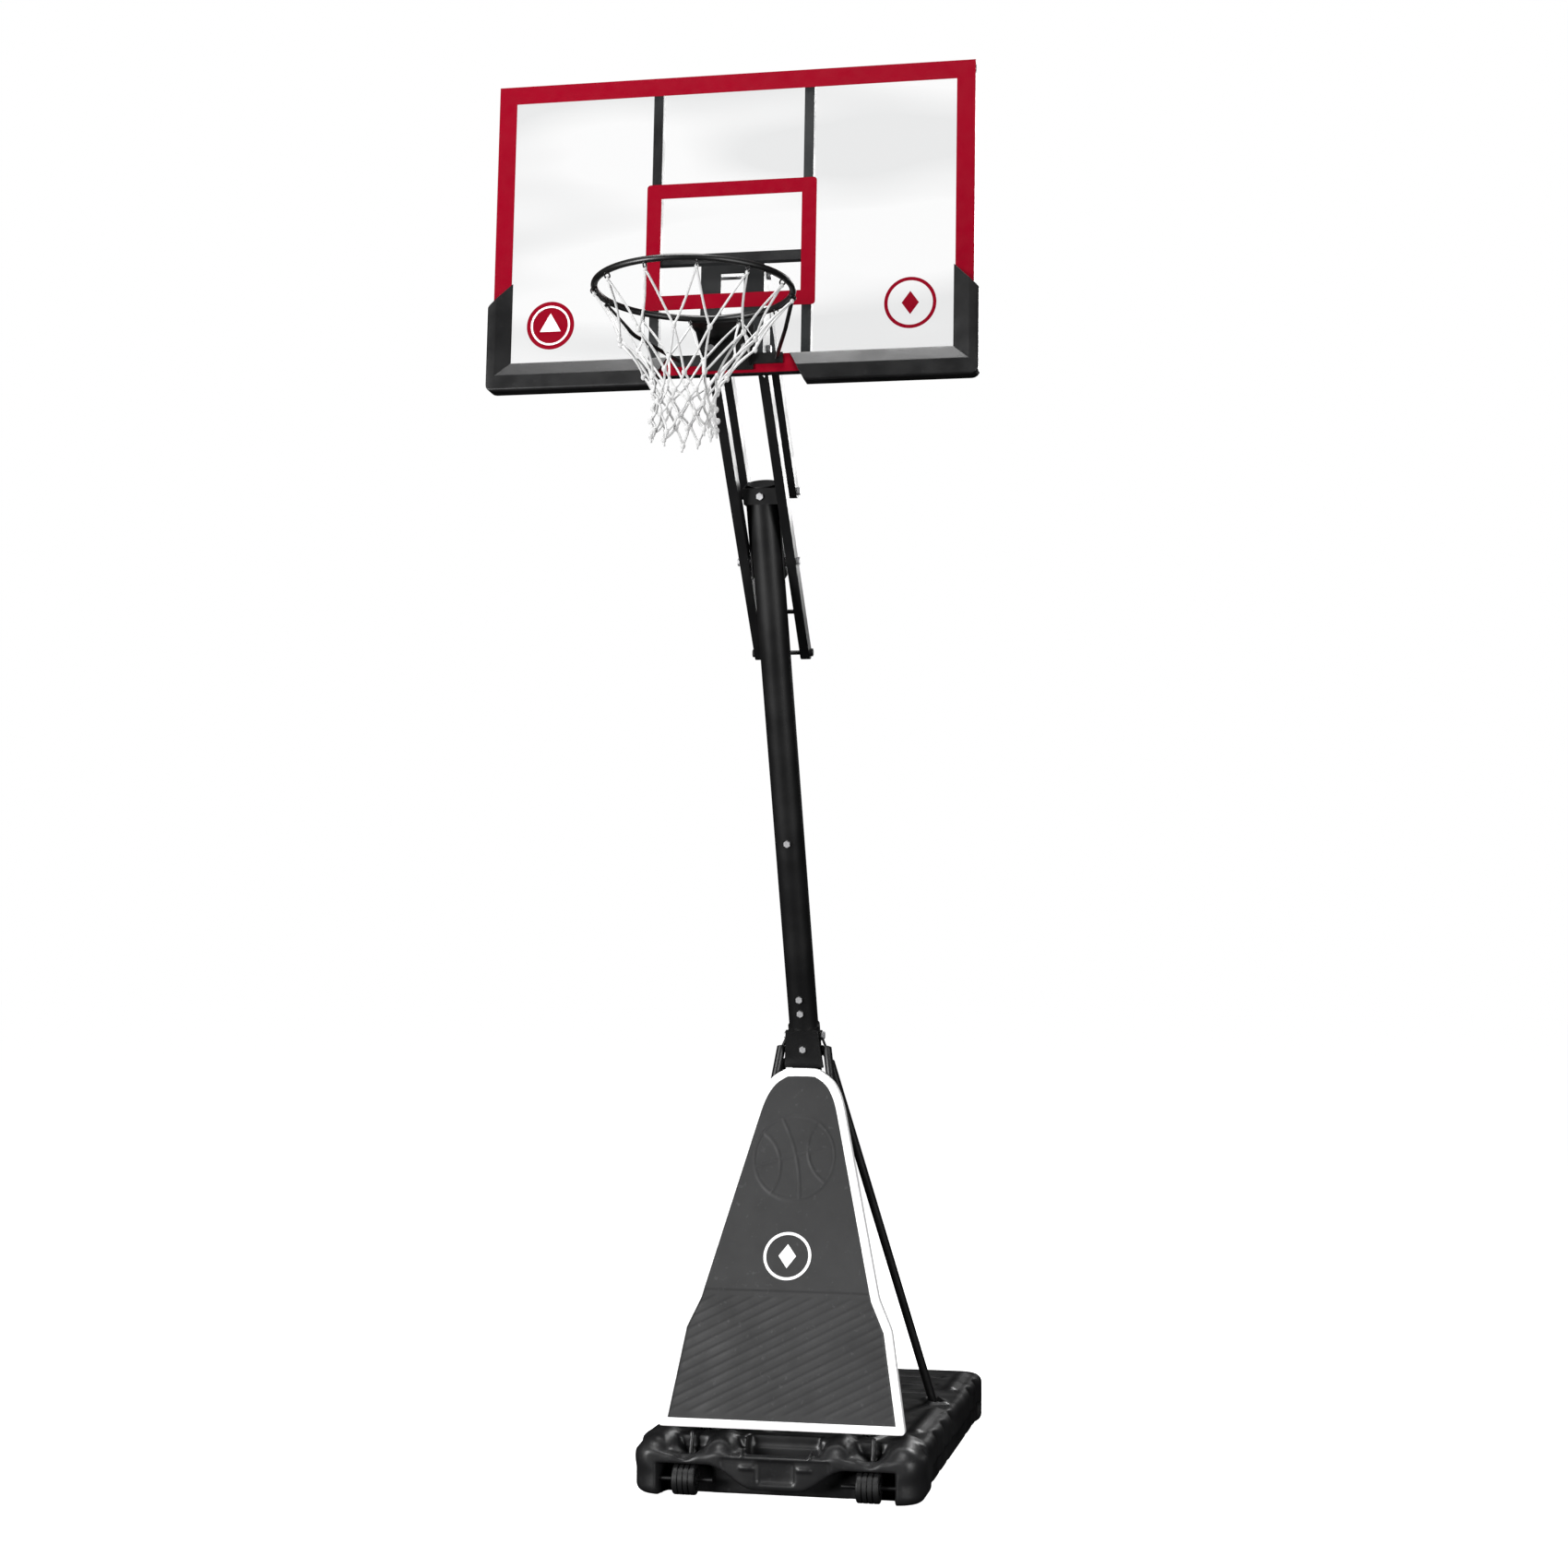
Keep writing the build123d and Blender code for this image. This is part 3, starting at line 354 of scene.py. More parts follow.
def build_net():
    """A knotted cord net: twelve loops on the hooks, then diamonds that narrow to a neck."""
    rng = random.Random(7)
    centre = board_matrix() @ Vector((0, -RING_REACH, 0))
    verts = []
    faces = []
    rings = []
    for level, (radius, drop, turn) in enumerate(net_profile()):
        ring = []
        for i in range(HOOKS):
            loose = 0.0 if level == 0 else 0.006
            a = 2 * math.pi * (i + 0.5 + turn) / HOOKS + rng.uniform(-1, 1) * loose / max(radius, 0.05)
            r = radius + rng.uniform(-1, 1) * loose
            z = -drop + rng.uniform(-1, 1) * loose * (1 if level < 6 else 2)
            p = Vector((r * math.cos(a), r * math.sin(a), z))
            if level == 0:
                p = board_matrix() @ (p + Vector((0, -RING_REACH, 0)))
            else:
                p = p + centre + Vector((NET_DRIFT * min(1, drop / 0.23), 0, 0))
            ring.append(p)
        rings.append(ring)
    for level in range(len(rings) - 1):
        turned = net_profile()[level][2] > net_profile()[level + 1][2]
        for i in range(HOOKS):
            for step in (0, 1):
                j = (i + step - (0 if turned else 1)) % HOOKS
                start = rings[level][i]
                end = rings[level + 1][j]
                path = []
                sag = 0.010 if level < 2 else 0.005
                for k in range(9):
                    t = k / 8
                    p = start.lerp(end, t)
                    inward = Vector((centre.x - p.x, centre.y - p.y, 0)).normalized()
                    hang = Vector((0, 0, -0.3 * sag * math.sin(math.pi * t)))
                    path.append(p + inward * sag * math.sin(math.pi * t) + hang)
                add_part(verts, faces, tube_along(path, CORD_R))
    for level, ring in enumerate(rings):
        for p in ring:
            add_part(verts, faces, ball(p, KNOT_R if level else HOOK_KNOT_R, 1.25))
    for p in rings[-1]:
        end = p + Vector((rng.uniform(-0.004, 0.004), rng.uniform(-0.004, 0.004), -0.016))
        add_part(verts, faces, tube_along([p, p.lerp(end, 0.5), end], CORD_R * 0.9))
    net = piece_from("net_cords", verts, faces, "board", CORD)
    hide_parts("net")


# ------------------------------------------------------------------ corner pads
PAD_OUT = 0.636
PAD_LOW = -0.124
PAD_TOP_OUT = 0.098
PAD_GAP = 0.178
PAD_BACK = 0.031
PAD_FACE = -0.014


def pad_profile(flat, width):
    """The pad's cross-section from its outer back edge round to its inner edge: (distance in, y)."""
    points = [(0.0, PAD_BACK), (0.0, PAD_FACE + 0.008)]
    for k in range(1, 5):
        a = math.pi / 2 * k / 4
        points.append((0.008 - 0.008 * math.cos(a), PAD_FACE + 0.008 - 0.008 * math.sin(a)))
    points.append((flat - 0.001, PAD_FACE))
    points.append((flat + 0.002, PAD_FACE + 0.0008))
    points.append((width - 0.002, -0.0024))
    points.append((width, -0.0007))
    return points


def build_pad(side, name):
    """A moulded corner pad: a flat face, a wide bevel towards the sheet and a mitred corner."""
    profile = pad_profile(0.023, 0.064)
    foot = pad_profile(0.040, 0.075)
    stations = []
    stations.append([Vector((side * (PAD_OUT - d), y, PAD_TOP_OUT + d)) for d, y in profile])
    for z in (0.06, 0.0):
        stations.append([Vector((side * (PAD_OUT - d), y, z)) for d, y in profile])
    turn = 0.02
    for k in range(5):
        a = math.pi / 2 * k / 4
        inset = (turn * (1 - math.cos(a)), turn * (1 - math.sin(a)))
        station = []
        for (d, y), (e, _) in zip(profile, foot):
            x = PAD_OUT - max(d, inset[0])
            z = PAD_LOW + max(e, inset[1])
            station.append(Vector((side * x, y, z)))
        stations.append(station)
    for x in (0.5, 0.35):
        stations.append([Vector((side * x, y, PAD_LOW + d)) for d, y in foot])
    stations.append([Vector((side * (PAD_GAP + 0.02 - 0.53 * d), y, PAD_LOW + d)) for d, y in foot])
    place = board_matrix()
    count = len(profile)
    verts = [place @ p for station in stations for p in station]
    faces = []
    for s in range(len(stations) - 1):
        for k in range(count - 1):
            a = s * count + k
            faces.append((a, a + 1, a + count + 1, a + count))
    for s in (0, len(stations) - 1):
        base = s * count
        faces.append(tuple(base + k for k in range(count)))
    pad = piece_from(name, verts, faces, "board", PAD, False)
    bm = bmesh.new()
    bm.from_mesh(pad.data)
    bmesh.ops.remove_doubles(bm, verts=bm.verts, dist=0.0002)
    bmesh.ops.recalc_face_normals(bm, faces=bm.faces)
    bm.to_mesh(pad.data)
    bm.free()
    solid = pad.modifiers.new("solid", "BEVEL")
    solid.width = 0.0016
    solid.segments = 2
    solid.limit_method = "ANGLE"
    solid.angle_limit = math.radians(20)
    for poly in pad.data.polygons:
        poly.use_smooth = True
    even = pad.modifiers.new("even", "WEIGHTED_NORMAL")
    even.weight = 100
    apply_modifiers(pad)
    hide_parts(name.replace("_shell", ""))


# ------------------------------------------------------------------ soft solids from distance fields
def smooth_min(a, b, k):
    """The union of two distance fields with a soft seam of width k."""
    h = np.clip(0.5 + 0.5 * (b - a) / k, 0, 1)
    return b + (a - b) * h - k * h * (1 - h)


def smooth_cut(a, b, k):
    """Distance field a with b taken out of it, with a soft edge of width k."""
    return -smooth_min(-a, b, k)


def box_field(x, y, z, low, high, rounding=0.0):
    """Distance to a box with rounded edges, given by its limits."""
    outside = 0
    inside = -1e9
    for value, lo, hi in zip((x, y, z), low, high):
        q = np.abs(value - (lo + hi) / 2) - (hi - lo) / 2 + rounding
        outside = outside + np.maximum(q, 0) ** 2
        inside = np.maximum(inside, q)
    return np.sqrt(outside) + np.minimum(inside, 0) - rounding


def capsule_field(x, y, z, start, end, radius):
    """Distance to a round-ended bar."""
    d = [e - s for s, e in zip(start, end)]
    length = sum(v * v for v in d)
    t = ((x - start[0]) * d[0] + (y - start[1]) * d[1] + (z - start[2]) * d[2]) / length
    t = np.clip(t, 0, 1)
    gap = (x - start[0] - t * d[0]) ** 2 + (y - start[1] - t * d[1]) ** 2 + (z - start[2] - t * d[2]) ** 2
    return np.sqrt(gap) - radius


def field_surface(field, origin, step):
    """The zero surface of a sampled distance field, as points and quads."""
    inside = field < 0
    shape = np.array(field.shape) - 1
    total = np.zeros((*shape, 3))
    count = np.zeros(shape)
    corners = [(i, j, k) for i in (0, 1) for j in (0, 1) for k in (0, 1)]

    def part(array, corner):
        return array[tuple(slice(c, c + n) for c, n in zip(corner, shape))]

    for a in corners:
        for axis in range(3):
            if a[axis]:
                continue
            b = tuple(1 if i == axis else c for i, c in enumerate(a))
            fa = part(field, a)
            fb = part(field, b)
            cross = part(inside, a) != part(inside, b)
            t = np.where(cross, fa / np.where(cross, fa - fb, 1), 0)
            for i in range(3):
                total[..., i] += cross * (a[i] + (t if i == axis else 0))
            count += cross
    used = count > 0
    index = np.full(shape, -1)
    index[used] = np.arange(used.sum())
    cells = np.argwhere(used)
    points = (cells + total[used] / count[used][:, None]) * step + np.array(origin)
    quads = []
    for axis in range(3):
        u, v = [i for i in range(3) if i != axis]
        low = [slice(1, n) for n in shape]
        low[axis] = slice(0, shape[axis])
        a = inside[tuple(low)]
        high = list(low)
        high[axis] = slice(1, shape[axis] + 1)
        b = inside[tuple(high)]
        hits = np.argwhere(a != b)
        hits[:, u] += 1
        hits[:, v] += 1
        ring = []
        for du, dv in ((-1, -1), (0, -1), (0, 0), (-1, 0)):
            cell = hits.copy()
            cell[:, u] += du
            cell[:, v] += dv
            ring.append(index[cell[:, 0], cell[:, 1], cell[:, 2]])
        quads.append(np.stack(ring, axis=1))
    return points, np.concatenate(quads)


# ------------------------------------------------------------------ base tank
WHEEL_X = 255
WHEEL_Y = -866
WHEEL_Z = 44
BASE_HALF_W = 404
BASE_FRONT = -895
BASE_REAR = 515
BASE_H = 150
LOBE_H = 168
LIP_H = 117


def base_plan(x, y):
    """Distance to the base's outline seen from above: a long rectangle with rounded corners."""
    mid = (BASE_REAR + BASE_FRONT) / 2
    r = 78
    qx = np.abs(x) - BASE_HALF_W + r
    qy = np.abs(y - mid) - (BASE_REAR - BASE_FRONT) / 2 + r
    return np.sqrt(np.maximum(qx, 0) ** 2 + np.maximum(qy, 0) ** 2) + np.minimum(np.maximum(qx, qy), 0) - r


def base_field(x, y, z):
    """Distance field of the right half of the tank, in millimetres."""
    r = 26
    side = base_plan(x, y) + r
    rise = np.abs(z - BASE_H / 2) - BASE_H / 2 + r
    tank = np.sqrt(np.maximum(side, 0) ** 2 + np.maximum(rise, 0) ** 2)
    tank = tank + np.minimum(np.maximum(side, rise), 0) - r
    # scallops down the long sides and the back
    for y0 in (-560, -400, -240, 190, 340):
        groove = np.sqrt((x - 424) ** 2 + ((y - y0) * 0.75) ** 2) - 34
        tank = smooth_cut(tank, groove, 14)
    tank = smooth_cut(tank, np.sqrt(((x - 150) * 0.6) ** 2 + (y - 537) ** 2) - 36, 14)
    # the side wall steps in under a long rounded shoulder
    under = box_field(x, y, z, (388, -700, -40), (460, 440, 66), 14)
    tank = smooth_cut(tank, under, 10)
    # top panels, ribs and the channel that the pole lies in
    tank = smooth_cut(tank, box_field(x, y, z, (-74, -690, 136), (74, -110, 190), 18), 10)
    for y0, y1 in ((-560, -430), (-400, -270)):
        tank = smooth_cut(tank, box_field(x, y, z, (112, y0, 140), (186, y1, 190), 16), 8)
    for y0 in (60, 210, 360):
        tank = smooth_cut(tank, box_field(x, y, z, (95, y0 - 16, 139), (292, y0 + 16, 190), 13), 9)
    tank = smooth_min(tank, capsule_field(x, y, z, (345, 130, 141), (345, 420, 141), 17), 16)
    tank = smooth_min(tank, capsule_field(x, y, z, (344, -600, 140), (350, -250, 140), 18), 18)
    # front: clear the slab, then add the humps
    trough = np.abs(x - WHEEL_X) * 0.62 - (z - 92) * 0.78
    trough = np.maximum(trough, y + 782)
    tank = smooth_cut(tank, trough, 10)
    shelf = np.maximum(118 - z, y + 775)
    shelf = np.maximum(shelf, 100 - x)
    tank = smooth_cut(tank, shelf, 12)
    humps = capsule_field(x, y, z, (347, -843, 100), (338, -742, 114), 53)
    inner = capsule_field(x, y, z, (163, -847, 106), (166, -752, 118), 46)
    humps = np.minimum(humps, inner)
    brow = capsule_field(x, y, z, (150, -868, 98), (345, -868, 98), 15)
    tank = smooth_min(tank, smooth_min(humps, brow, 12), 14)
    # the centre: a lip, a dark recess behind it and sloping flanks
    flank = np.maximum(np.abs(x) - (88 + np.maximum(z - LIP_H, 0) * 0.42), LIP_H - z)
    flank = np.maximum(flank, y + 728)
    tank = smooth_cut(tank, flank, 9)
    recess = box_field(x, y, z, (-104, -852, 70), (104, -732, 220), 12)
    tank = smooth_cut(tank, recess, 5)
    # the smile-shaped lower edge with the undercut below it
    t = np.clip((np.abs(x) - 62) / 128, 0, 1)
    edge = 28 + 62 * t * t * (3 - 2 * t)
    fade = np.clip((x - 318) / 20, 0, 1)
    undercut = np.maximum(z - edge, y + 818 + 110 * fade)
    tank = smooth_cut(tank, undercut, 5)
    rim_gap = np.abs(z - edge - 6)
    rim = np.sqrt(rim_gap**2 + (y + 888) ** 2) - 6
    rim = np.maximum(rim, x - 330)
    tank = smooth_min(tank, rim, 5)
    # blank panel on the lip with a short bar beside it
    tank = smooth_cut(tank, box_field(x, y, z, (-150, -930, -20), (150, -890, LIP_H - 8), 2), 3)
    tank = smooth_cut(tank, box_field(x, y, z, (-50, -910, 47), (50, -884, 103), 2), 2)
    tank = smooth_min(tank, box_field(x, y, z, (60, -898, 80), (100, -880, 92), 3), 3)
    # wheel arches
    arch = np.sqrt((y - WHEEL_Y) ** 2 + (z - WHEEL_Z) ** 2) - 49
    mouth = np.maximum(np.abs(z - 38) - 49, y - WHEEL_Y)
    below = np.maximum(np.abs(y - WHEEL_Y) - 49, z - WHEEL_Z)
    arch = np.minimum(np.minimum(arch, mouth), below)
    arch = np.maximum(arch, np.abs(x - WHEEL_X) - 61)
    tank = smooth_cut(tank, arch, 4)
    # post in each notch
    tank = smooth_min(tank, capsule_field(x, y, z, (WHEEL_X, -806, 96), (WHEEL_X, -790, 158), 7), 6)
    # foot well and strut pockets
    tank = smooth_cut(tank, box_field(x, y, z, (-62, -85, 62), (62, 70, 220), 6), 3)
    for px, py, turn in ((328, -100, 0.35), (236, -700, -0.25)):
        u = (x - px) * math.cos(turn) + (y - py) * math.sin(turn)
        v = (y - py) * math.cos(turn) - (x - px) * math.sin(turn)
        tank = smooth_min(tank, box_field(u, v, z, (-34, -54, 100), (34, 54, 157), 12), 10)
        tank = smooth_cut(tank, box_field(u, v, z, (-16, -40, 131), (16, 40, 200), 7), 4)
    # nothing leaves the tank's box
    limit = box_field(x, y, z, (-BASE_HALF_W, BASE_FRONT, 0), (BASE_HALF_W, BASE_REAR, LOBE_H), 3)
    return np.maximum(tank, limit)


def build_base():
    """The blow-moulded tank, made as one soft solid."""
    step = 5.0
    half = [np.arange(0, 419, step), np.arange(-906, 527, step), np.arange(-8, 182, step)]
    x, y, z = np.meshgrid(*half, indexing="ij", sparse=True)
    right = base_field(x, y, z)
    field = np.concatenate([right[:0:-1], right], axis=0)
    xs = np.concatenate([-half[0][:0:-1], half[0]])
    x, y, z = np.meshgrid(xs, half[1], half[2], indexing="ij", sparse=True)
    neck = np.sqrt((x + 338) ** 2 + (y - 300) ** 2)
    field = smooth_min(field, np.maximum(neck - 36, z - 150), 8)
    field = np.maximum(field, -np.maximum(neck - 24, 110 - z))
    points, quads = field_surface(field, (xs[0], half[1][0], half[2][0]), step)
    low = np.array((-BASE_HALF_W, BASE_FRONT, 0.0))
    high = np.array((BASE_HALF_W, BASE_REAR, LOBE_H))
    points = np.clip(points, low, high) / 1000
    tank = piece_from("tank_shell", points.tolist(), quads.tolist(), "stand", TANK)
    thin = tank.modifiers.new("thin", "DECIMATE")
    thin.ratio = 0.45
    apply_modifiers(tank)
    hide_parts("base_tank")


# ------------------------------------------------------------------ shield
SHIELD_Z = (177, 547, 1156)
SHIELD_Y = (-820, -748, -538)
FACE_STEP = 4.0
FACE_COLUMNS = 151


def shield_corners():
    """The shield's outline in its (x, z) view, from the bottom left round to the top and down the right."""
    right = [(347, 177), (300, 450), (262, 532)]
    for i in range(13):
        t = i / 13
        half_w = 137 - 0.256 * t * 136
        right.append((half_w * (1 - t**3) ** (1 / 3), 1020 + t * 136))
    right.append((45, 1154.5))
    right.append((18, 1156))
    return [(-x, z) for x, z in right] + right[::-1]


def inset_outline(inset):
    """The shield's outline drawn in by an inset, with its sharp corners softened."""
    corners = shield_corners()
    n = len(corners)
    lines = []
    for i in range(n):
        a = Vector(corners[i])
        b = Vector(corners[(i + 1) % n])
        d = (b - a).normalized()
        lines.append((a + Vector((d.y, -d.x)) * inset, d))
    drawn = []
    for i in range(n):
        p, d = lines[i - 1]
        q, e = lines[i]
        cross = d.x * e.y - d.y * e.x
        gap = q - p
        drawn.append(p + d * ((gap.x * e.y - gap.y * e.x) / cross))
    soft = max(14 - 0.75 * inset, 1.0)
    points = []
    for i in range(n):
        before = drawn[i - 1] - drawn[i]
        after = drawn[(i + 1) % n] - drawn[i]
        r = min(soft, 0.4 * before.length, 0.4 * after.length)
        a = drawn[i] + before.normalized() * r
        b = drawn[i] + after.normalized() * r
        for k in range(6):
            t = k / 5
            points.append(a * (1 - t) ** 2 + drawn[i] * 2 * t * (1 - t) + b * t**2)
    crease = SHIELD_Z[1]
    creased = []
    for a, b in zip(points, points[1:] + points[:1]):
        creased.append(a)
        if (a.y - crease) * (b.y - crease) < 0:
            creased.append(a.lerp(b, (crease - a.y) / (b.y - a.y)))
    return creased


def shield_y(z):
    """The y of the shield's flat face at a height, in millimetres."""
    return np.interp(z, SHIELD_Z, SHIELD_Y)


def shield_relief(x, z):
    """How far the moulded face stands out at a point: ball seams above the crease, slanted ribs below."""
    cx, cz, r = -4, 908, 116
    dx = x - cx
    dz = z - cz
    d = np.hypot(dx, dz)
    seams = [np.abs(d - r)]
    seams.append(np.abs(dx * 0.96 + dz * 0.28 + 0.0012 * d * d - 6))
    seams.append(np.abs(dz * 0.96 - dx * 0.28 - 4))
    seams.append(np.abs(np.hypot(dx - 150, dz - 30) - 112))
    seams.append(np.abs(np.hypot(dx + 150, dz + 30) - 112))
    seam = np.minimum.reduce(seams)
    inside = np.clip((r + 5 - d) / 4, 0, 1)
    ball = 3.2 * np.clip(1 - (seam / 5.5) ** 2, 0, 1) ** 2 * inside
    panel = 1.4 * np.clip((r - d) / 10, 0, 1)
    along = z * math.cos(math.radians(27)) - x * math.sin(math.radians(27))
    saw = (along / 25) % 1
    rib = -2.0 * np.exp(-(((saw - 0.5) / 0.11) ** 2))
    low = np.clip((SHIELD_Z[1] - 14 - z) / 8, 0, 1) * np.clip((z - 212) / 8, 0, 1)
    crease = -3.0 * np.exp(-(((z - SHIELD_Z[1] + 4) / 4.5) ** 2))
    step = 2.0 / (1 + np.exp(-(z - SHIELD_Z[1] + 4) / 2.5))
    return ball + panel + rib * low + crease + step - 2.0


def build_shield():
    """The bent cover panel: a relief face, and a light trim band that wraps round its edge."""
    outline = np.array([tuple(p) for p in inset_outline(9)])
    right = outline[outline[:, 0] > 0]
    right = right[np.argsort(right[:, 1])]
    rows = np.concatenate([np.arange(right[0, 1] + 0.5, 1147, FACE_STEP), [1147]])
    halves = np.interp(rows, right[:, 1], right[:, 0])
    halves[0] = right[:, 0].max()
    top = right[-1, 1]
    rows = rows[rows <= top]
    halves = halves[: len(rows)]
    columns = np.linspace(-1, 1, FACE_COLUMNS)
    x = halves[:, None] * columns[None, :]
    z = np.repeat(rows[:, None], len(columns), axis=1)
    edge = np.clip((halves[:, None] - np.abs(x) - 12) / 6, 0, 1)
    y = shield_y(z) - 0.2 - shield_relief(x, z) * edge * 0.8
    front = np.stack([x, y, z], axis=-1).reshape(-1, 3) / 1000
    back = np.stack([x, shield_y(z) + 4, z], axis=-1).reshape(-1, 3) / 1000
    w = len(columns)
    h = len(rows)
    start = (np.arange(h - 1)[:, None] * w + np.arange(w - 1)[None, :]).reshape(-1)
    faces = np.stack([start, start + 1, start + w + 1, start + w], axis=1)
    behind = faces[:, ::-1] + w * h
    rim = list(range(w)) + [k * w + w - 1 for k in range(1, h)]
    rim += [(h - 1) * w + k for k in range(w - 2, -1, -1)] + [k * w for k in range(h - 2, 0, -1)]
    sides = [(b, a, a + w * h, b + w * h) for a, b in zip(rim, rim[1:] + rim[:1])]
    verts = front.tolist() + back.tolist()
    face = piece_from("shield_face", verts, faces.tolist() + behind.tolist() + sides, "stand", SHIELD)
    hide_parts("front_shield")
    profile = [(2.5, 25), (1.2, 26), (0.2, 25), (0.0, 1.5), (0.3, -0.6), (1.2, -1.5)]
    profile += [(21.6, -1.6), (22.7, -1.2), (23, 0.6), (3.0, 3.0)]
    rings = [inset_outline(d) for d, _ in profile]
    n = len(rings[0])
    verts = []
    for (d, off), ring in zip(profile, rings):
        for p in ring:
            verts.append((p.x / 1000, (float(shield_y(p.y)) + off) / 1000, p.y / 1000))
    faces = []
    for k in range(len(profile)):
        a = k * n
        b = (k + 1) % len(profile) * n
        for i in range(n):
            j = (i + 1) % n
            faces.append((a + i, a + j, b + j, b + i))
    trim = piece_from("shield_band", verts, faces, "stand", WHITE)
    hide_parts("shield_trim")
    build_shield_mark()


def build_shield_mark():
    """A plain ring with a diamond in it, printed on the shield."""
    cz = 640
    slope = (SHIELD_Y[2] - SHIELD_Y[1]) / (SHIELD_Z[2] - SHIELD_Z[1])
    parts = ([], [])
    add_part(*parts, disc((0, 0), 0.068, 0.060, lift=0.0003, thickness=0.0006))
    add_part(*parts, plate([(0, 0.034), (0.025, 0), (0, -0.034), (-0.025, 0)], 0.0003, 0.0006))
    place = Matrix.Translation((-0.004, (float(shield_y(cz)) - 1.0) / 1000, cz / 1000))
    place = place @ Matrix.Rotation(-math.atan(slope), 4, "X")
    mark = piece_from("shield_mark", [place @ v for v in parts[0]], parts[1], "stand", WHITE, False)


# ------------------------------------------------------------------ marks
def disc(centre, radius, inner=0.0, sides=64, lift=0.0009, thickness=0.0005):
    """A thin disc or ring in the board's frame, as vertices and faces."""
    verts = []
    faces = []
    for y in (-lift, -lift - thickness):
        for r in ([radius, inner] if inner else [radius]):
            for k in range(sides):
                a = 2 * math.pi * k / sides
                verts.append(Vector((centre[0] + r * math.cos(a), y, centre[1] + r * math.sin(a))))
    if inner:
        for k in range(sides):
            n = (k + 1) % sides
            for lo, hi in ((0, 1), (1, 3), (3, 2), (2, 0)):
                faces.append((lo * sides + k, lo * sides + n, hi * sides + n, hi * sides + k))
    else:
        faces.append(tuple(range(sides)))
        faces.append(tuple(range(sides, 2 * sides))[::-1])
        for k in range(sides):
            n = (k + 1) % sides
            faces.append((k, n, sides + n, sides + k))
    return verts, faces


def plate(points, lift, thickness=0.0005):
    """A thin flat polygon in the board's frame."""
    verts = [Vector((x, y, z)) for y in (-lift, -lift - thickness) for x, z in points]
    n = len(points)
    faces = [tuple(range(n)), tuple(range(n, 2 * n))[::-1]]
    faces += [(k, (k + 1) % n, n + (k + 1) % n, n + k) for k in range(n)]
    return verts, faces


def build_marks():
    """Plain round marks on the board: a disc with a ring and a triangle, and a ring with a diamond."""
    place = board_matrix()
    left = (-0.469, 0.047)
    right = (0.463, 0.067)
    red_parts = ([], [])
    add_part(*red_parts, disc(left, 0.063, lift=0.0002))
    add_part(*red_parts, disc(right, 0.066, 0.057, lift=0.0002))
    diamond = [(right[0], right[1] + 0.03), (right[0] + 0.022, right[1]), (right[0], right[1] - 0.03)]
    diamond.append((right[0] - 0.022, right[1]))
    add_part(*red_parts, plate(diamond, 0.0002))
    mark = piece_from("board_marks_red", [place @ v for v in red_parts[0]], red_parts[1], "board", RED, False)
    white_parts = ([], [])
    add_part(*white_parts, disc(left, 0.052, 0.047, lift=0.0008))
    triangle = [(left[0] + 0.032 * math.sin(t), left[1] + 0.032 * math.cos(t)) for t in (0, 2.0944, 4.18879)]
    add_part(*white_parts, plate(triangle, 0.0008))
    white_verts = [place @ v for v in white_parts[0]]
    mark = piece_from("board_marks_white", white_verts, white_parts[1], "board", WHITE, False)


# ------------------------------------------------------------------ stage, light and camera
def floor_material():
    """A bright matte floor that shines by itself, so that it shows almost no shadow."""
    m = Material("floor", (0.9, 0.9, 0.9), 0.8, Specular_IOR_Level=0.0)
    m.mix_color(m.remap(m.noise(2, 3), 0.3, 0.8, 0, 0.2), (0.86, 0.86, 0.86))
    m.bsdf.inputs["Emission Color"].default_value = (1, 1, 1, 1)
    m.bsdf.inputs["Emission Strength"].default_value = 1.0
    return m.mat


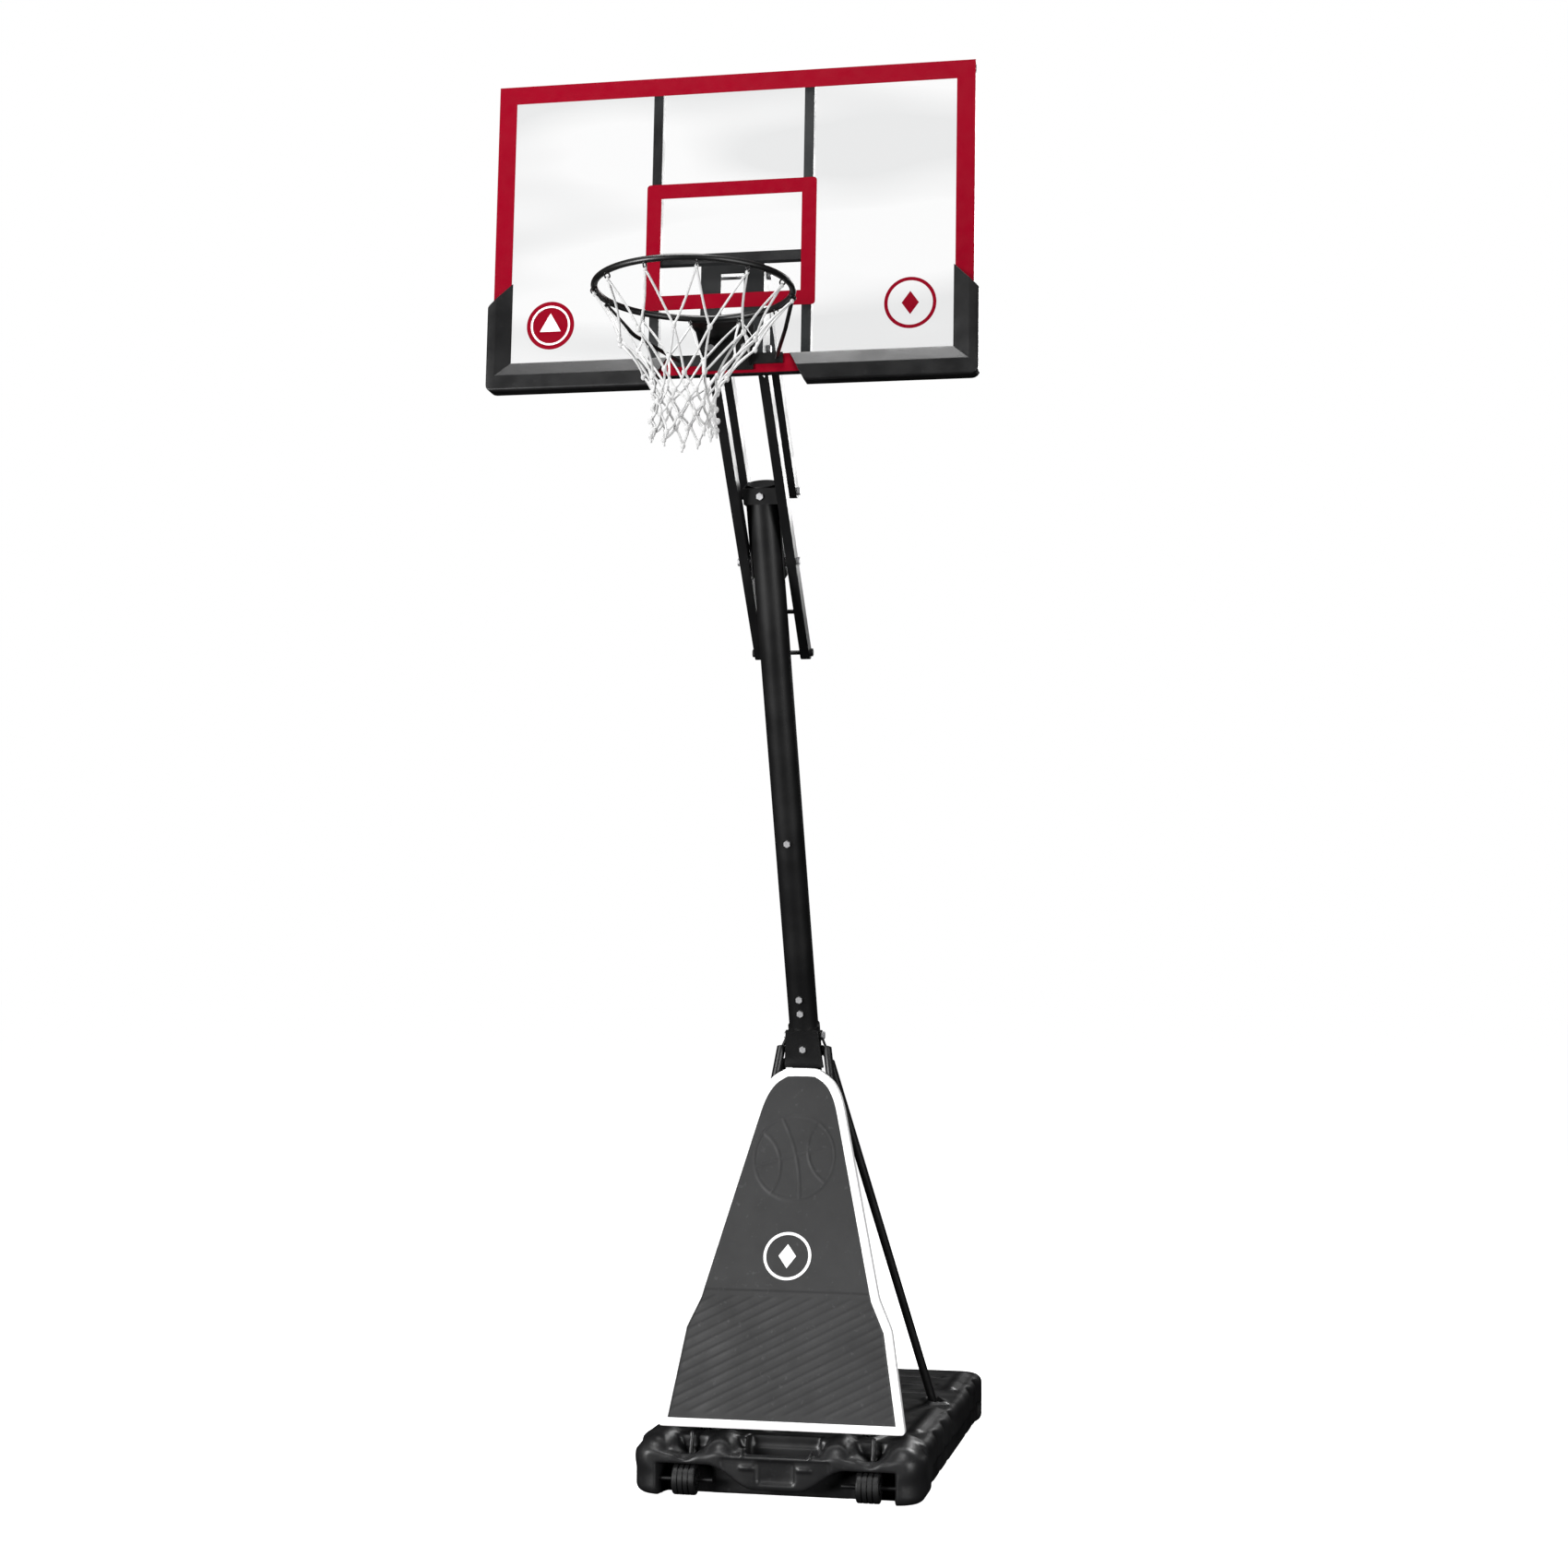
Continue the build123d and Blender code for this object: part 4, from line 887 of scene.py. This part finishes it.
def build_stage():
    """A pale floor, a plain bright world and four soft lights. Neither floor nor world lights the part."""
    mesh = bpy.data.meshes.new("floor")
    half = 60
    corners = [(-half, -half, 0), (half, -half, 0), (half, half, 0), (-half, half, 0)]
    mesh.from_pydata(corners, [], [(0, 1, 2, 3)])
    floor = bpy.data.objects.new("floor", mesh)
    bpy.context.scene.collection.objects.link(floor)
    floor.location.z = -0.0005
    floor.visible_diffuse = False
    floor.visible_glossy = False
    mesh.materials.append(floor_material())
    world = bpy.data.worlds.new("world")
    world.use_nodes = True
    world.node_tree.nodes["Background"].inputs["Color"].default_value = (1, 1, 1, 1)
    world.node_tree.nodes["Background"].inputs["Strength"].default_value = 1.0
    world.cycles_visibility.diffuse = False
    world.cycles_visibility.glossy = False
    bpy.context.scene.world = world
    for name, place, aim, size, power in (
        ("key", (-3.8, -5.6, 1.9), (0, -1.0, 1.6), 2.2, 430),
        ("fill", (4.6, -5.2, 1.5), (0, -0.8, 1.2), 2.6, 260),
        ("back", (2.0, 4.5, 4.8), (0, -0.6, 1.8), 2.5, 200),
        ("top", (-0.4, -2.6, 6.6), (0, -1.0, 0.0), 2.2, 260),
    ):
        lamp = bpy.data.lights.new(name, "AREA")
        lamp.size = size
        lamp.energy = power
        obj = bpy.data.objects.new(name, lamp)
        bpy.context.scene.collection.objects.link(obj)
        obj.location = place
        obj.rotation_mode = "QUATERNION"
        obj.rotation_quaternion = (Vector(place) - Vector(aim)).to_track_quat("Z", "Y")
    bpy.context.scene.view_settings.view_transform = "Standard"


def build_camera():
    """The camera at the reference viewing angle: low, slightly to the right, and almost level."""
    yaw = math.radians(11.285)
    pitch = math.radians(3.8829)
    roll = math.radians(0.4032)
    forward = Vector((-math.sin(yaw) * math.cos(pitch), math.cos(yaw) * math.cos(pitch), math.sin(pitch)))
    right = forward.cross(Vector((0, 0, 1))).normalized()
    up = right.cross(forward)
    rolled_right = right * math.cos(roll) + up * math.sin(roll)
    rolled_up = up * math.cos(roll) - right * math.sin(roll)
    data = bpy.data.cameras.new("camera")
    data.lens = 58.862
    data.sensor_width = 36
    data.clip_end = 200
    cam = bpy.data.objects.new("camera", data)
    bpy.context.scene.collection.objects.link(cam)
    matrix = Matrix((rolled_right, rolled_up, -forward)).transposed().to_4x4()
    matrix.translation = Vector((1.3958, -7.8265, 1.4721))
    cam.matrix_world = matrix
    bpy.context.scene.camera = cam


# ------------------------------------------------------------------ build
paint_cad_nodes()
build_net()
build_pad(-1, "pad_left_shell")
build_pad(1, "pad_right_shell")
build_marks()
build_base()
build_shield()
build_stage()
build_camera()
